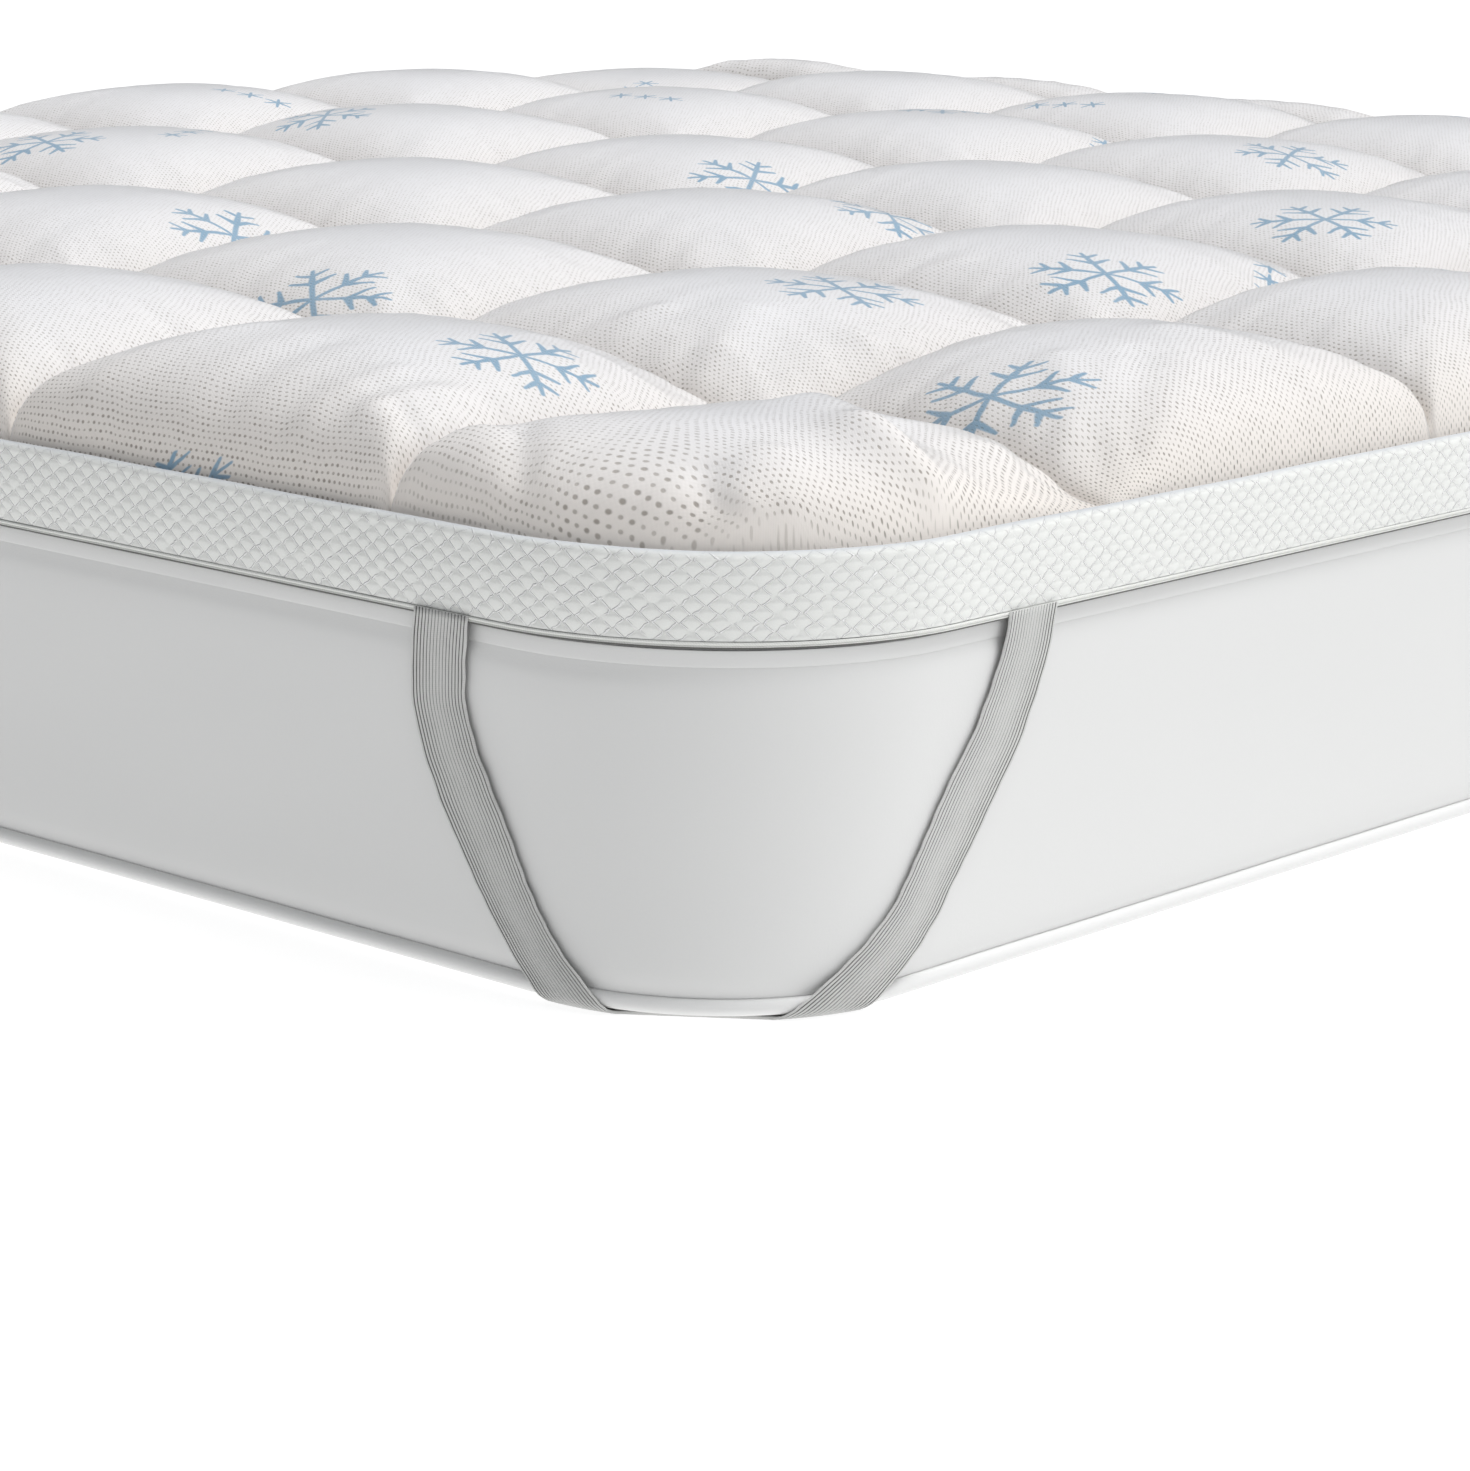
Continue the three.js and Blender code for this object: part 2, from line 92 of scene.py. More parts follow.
class TopperSizes(bpy.types.PropertyGroup):
    """Lengths of the topper and its finishes."""

    crown: length_property(
        "Puff crown", "How far a full box of the quilt stands above its channels", 0.080
    )
    eyelet_pitch: length_property(
        "Eyelet pitch", "Distance between eyelets along a row of the knit", 0.0036
    )
    seam_floor: length_property(
        "Channel floor", "Width of the flat bottom of a sewn channel", 0.0030
    )
    stitch: length_property("Stitch", "Length of one quilting stitch and its gap", 0.0042)
    thread: length_property("Thread", "Thickness of the quilting thread", 0.0010)
    crystal: length_property("Snow crystal", "Reach of one arm of the printed crystal", 0.0465)
    dome_width: length_property("Dome width", "Width of a dome of the border mesh", 0.0138)
    dome_height: length_property("Dome height", "Height of a dome of the border mesh", 0.0092)
    strap_width: length_property("Strap width", "Width of the elastic", 0.039)
    strap_rib: length_property("Strap rib", "Distance between the ribs of the elastic", 0.00235)


class TopperColours(bpy.types.PropertyGroup):
    """Main colours of the topper, the mattress and the floor."""

    knit: colour_property("Knit", "Quilt knit on top of a puff", tint(244, 244, 247))
    # Painted shade: the cream is the knit's warmer, darker copy, low on the puffs and along
    # channels.
    cream_shade: colour_property("Cream", "Quilt knit low on a puff", tint(243, 236, 229))
    # Painted shade inside the eyelet holes.
    eyelet: colour_property("Eyelet", "Inside of an eyelet", tint(160, 152, 144))
    print_blue: colour_property("Print", "Snow crystals on the quilt", tint(139, 173, 198))
    thread: colour_property("Thread", "Quilting and edge thread", tint(247, 247, 248))
    mesh_light: colour_property("Mesh", "Threads of the border mesh", tint(245, 246, 243))
    # Painted shade in the hollows between the mesh's domes and in an arc across each row.
    mesh_shade: colour_property("Mesh shade", "Hollows of the border mesh", tint(218, 219, 216))
    tape: colour_property("Tape", "Tape at the foot of the border", tint(236, 237, 233))
    strap: colour_property("Strap", "Ribs of the elastic", tint(215, 215, 213))
    # Painted shade in the grooves between the elastic's ribs.
    strap_groove_shade: colour_property("Strap groove", "Grooves of the elastic", tint(54, 54, 52))
    mattress: colour_property("Mattress", "Mattress cover", tint(231, 231, 230))
    piping: colour_property("Piping", "Rolls round the mattress", tint(238, 238, 237))
    floor: colour_property("Floor", "Studio floor", tint(138, 138, 138))


# ---- Materials --------------------------------------------------------------------------------

# Colours that the main ones fade towards.
WHITE = (1.0, 1.0, 1.0)
KNIT_DULL = tint(196, 194, 192)
THREAD_DULL = tint(222, 222, 224)
NET_WHITE = tint(255, 255, 255)
RIM_GREY = tint(208, 212, 217)
TAPE_DULL = tint(196, 197, 194)
# Painted shadow on the tape's underside, in the gap between the border and the mattress.
TAPE_GAP_SHADOW = tint(88, 88, 86)
COVER_DULL = tint(208, 208, 206)
FLOOR_DULL = tint(132, 132, 132)

FULL_TURN = 2 * math.pi
SIXTY = math.pi / 3

# Strokes of one half of a snow crystal's arm, as shares of its reach: where a stroke starts and
# ends, and half its width at each end.
CRYSTAL_STROKES = (
    ((0.00, 0.00), (0.52, 0.00), 0.034, 0.036),
    ((0.52, 0.00), (0.98, 0.00), 0.048, 0.026),
    ((0.46, 0.00), (0.66, 0.28), 0.050, 0.024),
    ((0.74, 0.00), (0.90, 0.20), 0.046, 0.022),
)

# The one stroke of a star's arm, the distance between stars and the reach of an arm.
STAR_STROKE = ((0.0, 0.0), (1.0, 0.0), 0.13, 0.06)
STAR_PITCH = 0.027
STAR_REACH = 0.0115

# The knit's eyelets and loops, as shares of the eyelet pitch, and how far its rows sway.
EYELET_ROW = 0.74
WALE = 0.5
COURSE = 0.37
SWAY_ACROSS = 0.0050
SWAY_ALONG = 0.0040

# How far a gather reaches from its seam and how high it stands.
GATHER_REACH = 0.013
GATHER_HEIGHT = 0.0030

# The knit's relief: an eyelet's depth, what it gains where the knit is drawn open, the loops and
# the soft streaks.
EYELET_DEPTH = 0.0002
OPEN_EYELET_DEPTH = 0.0005
LOOP_HEIGHT = 0.00005
STREAK_HEIGHT = 0.0002

# The border's cloth runs up to its rolled rim: where the domes fade out and the rim starts.
DOMES_FADE = (0.0420, 0.0475)
RIM_START = (0.0425, 0.0470)

# How far the domes stray across and along, in broad, middling and small sways.
DOME_DRIFT = (0.003, 0.002)
DOME_WANDER = (0.0024, 0.0020)
DOME_CURL = (0.0022, 0.0018)

# The border's relief: a dome, the net over it and its fibres.
DOME_RELIEF = 0.0009
NET_RELIEF = 0.0010
FIBRE_RELIEF = 0.0001

# The tape's weave repeats over a length, and the painted shadow on its underside ends between two.
TAPE_WEAVE = 0.0014
TAPE_SHADOW_EDGE = (0.0040, 0.0044)

# The strap's picks repeat over a length. Its relief: a groove, the picks and its fibres.
STRAP_PICK = 0.0011
GROOVE_DEPTH = 0.00035
PICK_HEIGHT = 0.00005
STRAP_FIBRE_HEIGHT = 0.00004


def math_method(operation, reflected=False):
    """A method that puts a field, and what it is combined with, through a Math node."""

    def method(field, *others):
        values = (*others, field) if reflected else (field, *others)
        return field.finish.node("ShaderNodeMath", {"operation": operation}, values)

    return method


class Field:
    """A number that varies over a surface. Arithmetic on it adds Math nodes."""

    def __init__(self, finish, socket):
        self.finish = finish
        self.socket = socket

    __add__ = math_method("ADD")
    __radd__ = math_method("ADD", reflected=True)
    __sub__ = math_method("SUBTRACT")
    __rsub__ = math_method("SUBTRACT", reflected=True)
    __mul__ = math_method("MULTIPLY")
    __rmul__ = math_method("MULTIPLY", reflected=True)
    __truediv__ = math_method("DIVIDE")
    __rtruediv__ = math_method("DIVIDE", reflected=True)
    __mod__ = math_method("FLOORED_MODULO")
    floor = math_method("FLOOR")
    root = math_method("SQRT")
    size = math_method("ABSOLUTE")
    sine = math_method("SINE")
    cosine = math_method("COSINE")
    arctangent = math_method("ARCTAN2")
    exponent = math_method("EXPONENT")
    lower = math_method("MINIMUM")
    higher = math_method("MAXIMUM")

    def held(self, low, high):
        """Kept between two numbers."""
        return self.higher(low).lower(high)

    def rise(self, low, high):
        """0 below low, 1 above high and smooth between them."""
        settings = {"interpolation_type": "SMOOTHSTEP"}
        return self.finish.node("ShaderNodeMapRange", settings, (self, low, high, 0.0, 1.0))


class Finish:
    """A procedural material while it is made."""

    def __init__(self, name):
        self.material = bpy.data.materials.new(name)
        self.material.use_nodes = True
        self.tree = self.material.node_tree
        self.tree.nodes.clear()
        self.shader = self.tree.nodes.new("ShaderNodeBsdfPrincipled")
        output = self.tree.nodes.new("ShaderNodeOutputMaterial")
        self.tree.links.new(self.shader.outputs[0], output.inputs[0])

    def feed(self, socket, value):
        """Links a field to a socket, or sets the socket to a number or a colour."""
        if isinstance(value, Field):
            self.tree.links.new(value.socket, socket)
        elif socket.type == "RGBA":
            socket.default_value = tuple(value)[:3] + (1.0,)
        else:
            socket.default_value = value

    def node(self, kind, settings, values, output=0):
        """Adds a node: its settings first, then the values or links of its sockets."""
        node = self.tree.nodes.new(kind)
        for name, setting in settings.items():
            setattr(node, name, setting)
        pairs = values.items() if isinstance(values, dict) else enumerate(values)
        for key, value in pairs:
            self.feed(node.inputs[key], value)
        return Field(self, node.outputs[output])

    def cloth_place(self, layer):
        """The two coordinates of a cloth layer, in metres."""
        place = self.node("ShaderNodeUVMap", {"uv_map": layer}, {})
        across = self.node("ShaderNodeSeparateXYZ", {}, {0: place}, 0)
        along = self.node("ShaderNodeSeparateXYZ", {}, {0: place}, 1)
        return across, along

    def body_place(self):
        """The place on the piece, in metres."""
        return self.node("ShaderNodeTexCoord", {}, {}, "Object")

    def vertex_value(self, name):
        """A value that the mesh holds at its points."""
        return self.node("ShaderNodeAttribute", {"attribute_name": name}, {}, "Fac")

    def vector(self, across, along, up=0.0):
        """One place from its coordinates."""
        return self.node("ShaderNodeCombineXYZ", {}, (across, along, up))

    def noise(self, place, scale, detail=2.0):
        """Soft noise from 0 to 1."""
        values = {"Vector": place, "Scale": scale, "Detail": detail}
        return self.node("ShaderNodeTexNoise", {"noise_dimensions": "3D"}, values)

    def chance(self, across, along):
        """A random number from 0 to 1 for each whole pair of numbers."""
        place = self.vector(across, along)
        return self.node("ShaderNodeTexWhiteNoise", {"noise_dimensions": "2D"}, {"Vector": place})

    def mixed(self, share, colour_at_none, colour_at_full):
        """A colour between two, by a share from 0 to 1."""
        values = {0: share, 6: colour_at_none, 7: colour_at_full}
        return self.node("ShaderNodeMix", {"data_type": "RGBA"}, values, 2)

    def relief(self, height, strength, distance=1.0):
        """A normal from a height in metres."""
        values = {"Strength": strength, "Distance": distance, "Height": height}
        return self.node("ShaderNodeBump", {}, values)

    def give(self, **values):
        """Sets sockets of the shader: base_color, roughness, normal and so on."""
        for name, value in values.items():
            self.feed(self.shader.inputs[name.replace("_", " ").title()], value)

    def cloth(self, base, roughness, normal, nap, nap_roughness):
        """Makes the shader a cloth with a short white nap, and gives the material."""
        self.give(base_color=base, roughness=roughness, normal=normal)
        self.give(sheen_weight=nap, sheen_roughness=nap_roughness, sheen_tint=WHITE)
        return self.material


def stroke(x, y, start, end, width_at_start, width_at_end):
    """How far a point lies outside a tapered stroke."""
    step_x = end[0] - start[0]
    step_y = end[1] - start[1]
    reach = step_x * step_x + step_y * step_y
    from_x = x - start[0]
    from_y = y - start[1]
    share = ((from_x * step_x + from_y * step_y) / reach).held(0.0, 1.0)
    off_x = from_x - share * step_x
    off_y = from_y - share * step_y
    width = share * (width_at_end - width_at_start) + width_at_start
    return (off_x * off_x + off_y * off_y).root() - width


def arm_place(x, y):
    """A place round a six-armed shape, folded onto half an arm."""
    radius = (x * x + y * y).root()
    turn = y.arctangent(x) / SIXTY + 0.5
    folded = (turn % 1.0 - 0.5) * SIXTY
    return radius * folded.cosine(), (radius * folded.sine()).size()


def crystal_ink(finish, layer, reach):
    """1 on a printed snow crystal, 0 off it."""
    across, along = finish.cloth_place(layer)
    wander = finish.noise(finish.vector(across, along), 90.0) - 0.5
    x, y = arm_place(across / reach + wander * 0.05, along / reach - wander * 0.05)
    outside = stroke(x, y, *CRYSTAL_STROKES[0])
    for line in CRYSTAL_STROKES[1:]:
        outside = outside.lower(stroke(x, y, *line))
    return 1.0 - outside.rise(-0.012, 0.016)


def star_row_ink(finish, layer):
    """1 on three small plain stars in a row, 0 off them."""
    across, along = finish.cloth_place(layer)
    place = (across / STAR_PITCH + 0.5).floor().held(-1.0, 1.0)
    x, y = arm_place((across - place * STAR_PITCH) / STAR_REACH, along / STAR_REACH)
    outside = stroke(x, y, *STAR_STROKE)
    return 1.0 - outside.rise(-0.02, 0.06)


def eyelet_rows(finish, across, along, pitch, row_pitch):
    """Staggered oval eyelets: 1 in the middle of one, 0 on the knit round it."""
    row = (along / row_pitch).floor()
    column = across / pitch + row * 0.5
    luck = finish.chance(column.floor(), row)
    x = column % 1.0 - 0.5
    y = (along / row_pitch) % 1.0 - 0.5
    reach = (x * x * 7.5 + y * y * 11.0).root()
    open_share = luck * 0.25 + 0.62
    return (1.0 - (reach / open_share).rise(0.45, 1.15)) * (luck * 0.45 + 0.62)


def quilt_finish(sizes, colours):
    """Knit with rows of eyelets and a blue print, painted a warm shade and wide open low on the
    puffs.
    """
    finish = Finish("quilt_knit")
    across, along = finish.cloth_place("knit")
    pitch = sizes.eyelet_pitch
    sway = finish.noise(finish.vector(across, along), 26.0, 2.0) - 0.5
    across = across + sway * SWAY_ACROSS
    along = along - sway * SWAY_ALONG
    eyelet = eyelet_rows(finish, across, along, pitch, pitch * EYELET_ROW)
    wale = (across * (FULL_TURN / (pitch * WALE))).sine()
    course = (along * (FULL_TURN / (pitch * COURSE))).sine()
    loops = wale * course
    cloth = finish.vector(across, along)
    streaks = finish.noise(finish.vector(across * 6.0, along * 0.7), 60.0)
    patches = finish.noise(cloth, 22.0)

    # Painted warm shade low on the puffs and along the channels.
    base = finish.mixed(finish.vertex_value("low_shade"), colours.knit, colours.cream_shade)
    shade = (streaks - 0.5) * 0.10 + (patches - 0.5) * 0.05 + loops * 0.015
    beside, gap = finish.cloth_place("gathers")
    streak = finish.noise(finish.vector(beside, gap * 0.09), 110.0, 1.5) - 0.5
    near = gap / GATHER_REACH
    gathers = streak * near * (1.0 - near).exponent()
    base = finish.mixed((shade + 0.06).held(0.0, 1.0), base, KNIT_DULL)
    ink = crystal_ink(finish, "crystals", sizes.crystal)
    ink = ink.higher(star_row_ink(finish, "stars"))
    ink = ink * (patches * 0.25 + 0.80).held(0.0, 1.0)
    # Painted shade inside the eyelets, deeper where they open wide low on the puffs and at
    # channels.
    openness_and_shade = finish.vertex_value("openness_and_shade")
    hole_shade = eyelet * (1.0 - ink * 0.75) * (openness_and_shade * 0.60 + 0.32)
    base = finish.mixed(ink, base, colours.print_blue)
    base = finish.mixed(hole_shade, base, colours.eyelet)
    height = eyelet * (openness_and_shade * -OPEN_EYELET_DEPTH - EYELET_DEPTH)
    height = height + loops * LOOP_HEIGHT + streaks * STREAK_HEIGHT + gathers * GATHER_HEIGHT
    return finish.cloth(base, 0.86, finish.relief(height, 0.55), nap=1.0, nap_roughness=0.22)


def thread_finish(colours):
    """Slightly glossy sewing thread."""
    finish = Finish("quilting_thread")
    fibres = finish.noise(finish.body_place(), 2600.0, 3.0)
    base = finish.mixed(fibres * 0.35, colours.thread, THREAD_DULL)
    normal = finish.relief(fibres * 0.0002, 0.5)
    return finish.cloth(base, 0.5, normal, nap=0.3, nap_roughness=0.4)


def band_finish(sizes, colours):
    """Domed fishnet mesh with painted shade in its hollows, fading into a smooth rolled rim."""
    finish = Finish("border_mesh")
    across, along = finish.cloth_place("band")
    cloth = finish.vector(across, along)
    wander = finish.noise(cloth, 60.0) - 0.5
    curl = finish.noise(cloth, 230.0, 1.0) - 0.5
    drift = finish.noise(cloth, 14.0) - 0.5
    across = across + wander * DOME_WANDER[0] + curl * DOME_CURL[0] + drift * DOME_DRIFT[0]
    astray = along + wander * DOME_WANDER[1] - curl * DOME_CURL[1] + drift * DOME_DRIFT[1]
    x = across / sizes.dome_width
    y = astray / sizes.dome_height

    def domes(shift):
        """The height of one set of domes, and the place in its rows."""
        column = (x + shift) % 1.0 - 0.5
        row = (y + shift) % 1.0 - 0.5
        return 1.0 - column * column * 4.4 - row * row * 3.4, row

    first, first_row = domes(0.0)
    second, second_row = domes(0.5)
    upper = first.higher(second)
    seam = 1.0 - (first - second).size().rise(0.04, 0.30)
    own = (first - second).rise(-0.02, 0.02)
    row = first_row * own + second_row * (1.0 - own)
    patchy = finish.noise(cloth, 120.0, 2.0)
    fibre = finish.noise(cloth, 1500.0, 2.0)
    net = seam * patchy.rise(0.32, 0.54)
    # Painted shadow: a dark arc across each row of domes.
    arc = row.rise(0.06, 0.20) * (1.0 - row.rise(0.24, 0.40)) * (1.0 - seam)
    fade = 1.0 - along.rise(*DOMES_FADE)

    dome = upper.held(0.0, 1.0)
    # Painted shade in the hollows between the domes and in the arcs, with random fibre tone.
    shade = arc * 0.36 + (1.0 - dome) * 0.30 + (fibre - 0.5) * 0.5 + 0.1
    base = finish.mixed(shade.held(0.0, 1.0) * fade, colours.mesh_light, colours.mesh_shade)
    base = finish.mixed(net * fade * 0.95, base, NET_WHITE)
    base = finish.mixed(along.rise(*RIM_START) * 0.85, base, RIM_GREY)
    height = (dome * DOME_RELIEF + net * NET_RELIEF + fibre * FIBRE_RELIEF) * fade
    return finish.cloth(base, 0.74, finish.relief(height, 0.8), nap=0.2, nap_roughness=0.4)


def tape_finish(colours):
    """Slanting weave, with painted shadow on its underside in the gap over the mattress."""
    finish = Finish("edge_tape")
    across, along = finish.cloth_place("band")
    slant = ((across + along * 0.6) * (FULL_TURN / TAPE_WEAVE)).sine()
    fibre = finish.noise(finish.vector(across, along), 1400.0)
    base = finish.mixed(slant * 0.12 + fibre * 0.25, colours.tape, TAPE_DULL)
    # Painted shadow on the underside of the tape.
    base = finish.mixed(1.0 - along.rise(*TAPE_SHADOW_EDGE), base, TAPE_GAP_SHADOW)
    height = slant * 0.00006 + fibre * 0.00008
    return finish.cloth(base, 0.6, finish.relief(height, 0.6), nap=0.15, nap_roughness=0.4)


def strap_finish(sizes, colours):
    """Elastic with ribs along it and fine picks across them, and painted shade in its grooves."""
    finish = Finish("ribbed_elastic")
    across, along = finish.cloth_place("strap")
    rib = (across / sizes.strap_rib) % 1.0 - 0.5
    groove = rib.size().rise(0.22, 0.46)
    from_middle = (across / sizes.strap_width - 0.5).size()
    groove = groove * (from_middle.rise(0.02, 0.36) * 0.35 + 0.80)
    shift = (across / sizes.strap_rib).floor() * 2.1
    picks = (along * (FULL_TURN / STRAP_PICK) + shift).sine()
    fibre = finish.noise(finish.vector(across, along * 0.3), 1800.0)
    stretch = finish.noise(finish.vector(across, along), 45.0)
    # Painted shade in the grooves, stronger towards the edges, with random fibre and stretch tone.
    shade = groove * 0.95 + (fibre - 0.5) * 0.30 + (stretch - 0.5) * 0.2 + picks * 0.06
    base = finish.mixed(shade.held(0.0, 1.0), colours.strap, colours.strap_groove_shade)
    height = groove * -GROOVE_DEPTH + picks * PICK_HEIGHT + fibre * STRAP_FIBRE_HEIGHT
    return finish.cloth(base, 0.62, finish.relief(height, 0.7), nap=0.2, nap_roughness=0.35)


def cover_finish(name, colour):
    """Fine smooth stretch knit of the mattress and its piping."""
    finish = Finish(name)
    place = finish.body_place()
    grain = finish.noise(place, 900.0, 3.0)
    cloud = finish.noise(place, 5.0, 2.0)
    shade = (grain - 0.5) * 0.10 + (cloud - 0.5) * 0.08 + 0.05
    base = finish.mixed(shade.held(0.0, 1.0), colour, COVER_DULL)
    height = grain * 0.00012 + cloud * 0.0006
    return finish.cloth(base, 0.62, finish.relief(height, 0.5), nap=0.12, nap_roughness=0.5)


# ---- Meshes -----------------------------------------------------------------------------------


def cell_corners(grid):
    """The values of a grid at the four corners of each of its cells."""
    return np.stack([grid[:-1, :-1], grid[:-1, 1:], grid[1:, 1:], grid[1:, :-1]], axis=2)


def face_corners(grid):
    """The values of a grid at the corners of its faces, one face after another."""
    return cell_corners(grid).reshape(-1, 2)


def turned_over(corners):
    """The same face corners, listed the other way round each face."""
    return corners.reshape(-1, 4, 2)[:, ::-1].reshape(-1, 2)


def grid_index(count, length):
    """Point numbers over a grid of rows."""
    return np.arange(count * length).reshape(count, length)


def closed(rows):
    """Rows whose end is joined to their start."""
    return np.concatenate([rows, rows[:, :1]], axis=1)


def grid_faces(index):
    """Four-cornered faces over a grid of point numbers."""
    return cell_corners(index).reshape(-1, 4)


def run_along(path):
    """Lengths along a path, from its start to each of its points."""
    steps = np.linalg.norm(np.diff(path, axis=0), axis=1)
    return np.concatenate([[0.0], np.cumsum(steps)])


def points_between(start, end, share):
    """Points part of the way from a start to an end."""
    return start + (end - start) * share


def bell(away_x, away_y, reach):
    """1 at a place, falling to 0 past its reach."""
    return np.exp(-(away_x**2 + away_y**2) / (2 * reach**2))


def mesh_piece(name, points, faces, layers, material):
    """A smooth mesh piece. Each layer holds cloth coordinates for the corners of its faces."""
    mesh = bpy.data.meshes.new(name)
    mesh.vertices.add(len(points))
    mesh.vertices.foreach_set("co", np.asarray(points, np.float32).ravel())
    counts = np.array([len(face) for face in faces], np.int32)
    mesh.loops.add(int(counts.sum()))
    mesh.loops.foreach_set("vertex_index", np.concatenate(faces).astype(np.int32))
    mesh.polygons.add(len(faces))
    starts = np.concatenate([[0], np.cumsum(counts)[:-1]]).astype(np.int32)
    mesh.polygons.foreach_set("loop_start", starts)
    mesh.polygons.foreach_set("use_smooth", np.ones(len(faces), bool))
    for layer, corners in layers.items():
        mesh.uv_layers.new(name=layer).data.foreach_set("uv", np.asarray(corners, float).ravel())
    mesh.update(calc_edges=True)
    mesh.validate()
    mesh.materials.append(material)
    piece = bpy.data.objects.new(name, mesh)
    bpy.context.scene.collection.objects.link(piece)
    return piece


def settle(piece, slot, *nodes):
    """Puts a finished piece in the frame."""
    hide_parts(*nodes)
    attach(piece, "root")


# ---- The bed's outline ------------------------------------------------------------------------

CORNER_STEPS = 28
STRAIGHT_STEP = 0.018

# The corners in turn: their sides of the bed, and the direction in degrees that each starts from.
TURNS = ((1, -1, -90), (1, 1, 0), (-1, 1, 90), (-1, -1, 180))


def outline(radius):
    """Stations round the outer face, counter-clockwise from the middle of the +X side's low end.

    Gives the points, the outward directions and the running length at each station.
    """
    points = []
    outward = []
    centres = [
        np.array([side_x * (HALF_WIDTH - radius), side_y * (HALF_LENGTH - radius)])
        for side_x, side_y, _ in TURNS
    ]
    for place, (_, _, start) in enumerate(TURNS):
        centre = centres[place]
        for step in range(CORNER_STEPS + 1):
            angle = math.radians(start + 90 * step / CORNER_STEPS)
            direction = np.array([math.cos(angle), math.sin(angle)])
            points.append(centre + direction * radius)
            outward.append(direction)
        ahead = centres[(place + 1) % 4] + direction * radius
        half_size = (HALF_LENGTH, HALF_WIDTH)[place % 2]
        steps = round(2 * half_size / STRAIGHT_STEP)
        for step in range(1, steps):
            points.append(points_between(centre + direction * radius, ahead, step / steps))
            outward.append(direction)
    points = np.array(points)
    return points, np.array(outward), run_along(np.vstack([points, points[:1]]))


def waves(seed, place, lengths, total):
    """Smooth unevenness from -1 to 1 that closes on itself over the total length."""
    random = np.random.default_rng(seed)
    result = np.zeros_like(place)
    for length in lengths:
        turns = max(1, round(total / length))
        phase = random.uniform(0, 2 * math.pi)
        result += np.sin(2 * math.pi * turns * place / total + phase)
    return result / len(lengths)


# Lengths of the waves in a strip round the bed, outwards and upwards.
WOBBLE_LENGTHS = (0.9, 0.37, 0.16)
LIFT_LENGTHS = (0.8, 0.29, 0.13)
LIFT_SHARE = 0.6


def swept_round(name, radius, section, layer, material, unevenness, seed):
    """A strip swept round the bed. section lists inset and height from its foot upwards."""
    points, outward, running = outline(radius)
    total = running[-1]
    wobble = waves(seed, running[:-1], WOBBLE_LENGTHS, total) * unevenness
    lift = waves(seed + 1, running[:-1], LIFT_LENGTHS, total) * unevenness * LIFT_SHARE
    section = np.asarray(section)
    rise = (section[:, 1] - section[0, 1]) / (section[:, 1].max() - section[0, 1])
    rows = []
    for (inset, height), share in zip(section, rise):
        loose = math.sin(math.pi * min(max(share, 0.0), 1.0)) * 0.6 + 0.4 * share
        ring = points - outward * (inset - wobble * loose)[:, None]
        rows.append(np.column_stack([ring, height + lift * share]))
    faces = list(grid_faces(closed(grid_index(len(rows), len(points)))))
    cloth = np.stack(np.meshgrid(running, run_along(section)), axis=2)
    points = np.array(rows).reshape(-1, 3)
    return mesh_piece(name, points, faces, {layer: face_corners(cloth)}, material)


# ---- Quilt ------------------------------------------------------------------------------------

TOPPER_CORNER = 0.166
QUILT_INSET = 0.0109
PAD_SIDE_INSET = 0.0042
PAD_UNDERSIDE = TOPPER_BASE + 0.0003
CHANNEL_HEIGHT = TOPPER_BASE + 0.0407
TINY = 1e-12

# A full box's size and the sewn channels, in from the +X side and from the foot of the bed.
FULL_ACROSS = 0.3094
FULL_ALONG = 0.3133
CHANNELS_ACROSS = [0.2565 + FULL_ACROSS * place for place in range(5)]
CHANNELS_ALONG = [0.3110 + FULL_ALONG * place for place in range(6)]

# Grid cells over each box, finer near the near corner and crowded towards the channels.
CELLS_ACROSS = (60, 60, 48, 42, 40, 38)
CELLS_ALONG = (60, 60, 48, 42, 40, 38, 18)
BORDER_COLUMNS = (0, len(CELLS_ACROSS) - 1)
BORDER_ROWS = (0, len(CELLS_ALONG) - 1)
EVEN_SHARE = 0.45
CROWDED_SHARE = 0.55

# How full a box's sides, crown and corners are, and how high a box stands by the number of its
# directions in which it lies at the border.
SIDE_SQUARENESS = 2.6
CROWN_FULLNESS = 0.35
CORNER_FULLNESS = 1.5
BOX_SHARES = (1.0, 0.94, 0.695)
BOX_UNEVENNESS = 0.010
NARROW_BOX_LOSS = 0.08

# Boxes that stand higher or lower than their like: row, column and share.
BOX_LEVELS = (
    (5, 5, 0.83), (6, 5, 1.20), (6, 4, 0.89), (6, 3, 0.88), (2, 0, 1.05), (3, 5, 1.045),
    (4, 5, 1.03), (1, 1, 0.95), (1, 2, 0.96), (1, 3, 0.965), (2, 3, 0.965), (3, 3, 0.96),
    (4, 2, 1.02), (3, 1, 1.03),
)

# Where the puffs lie lower than their shape alone: place in from the +X side and from the foot,
# reach, and the share of the height that is lost.
SAGS = (
    (0.2565, 0.3110, 0.055, 0.41),
    (0.0080, 0.3000, 0.045, 0.80),
)
CROSSING_SAG = 0.15
CROSSING_REACH = 0.045

# Places that stand up more: place, reach and height.
SWELLS = (
    (0.225, 0.050, 0.040, 0.0085),
    (0.135, 0.120, 0.055, 0.0040),
    (0.150, 0.220, 0.030, 0.0020),
    (0.058, 0.282, 0.024, 0.0105),
    (0.242, 0.038, 0.028, 0.0045),
)


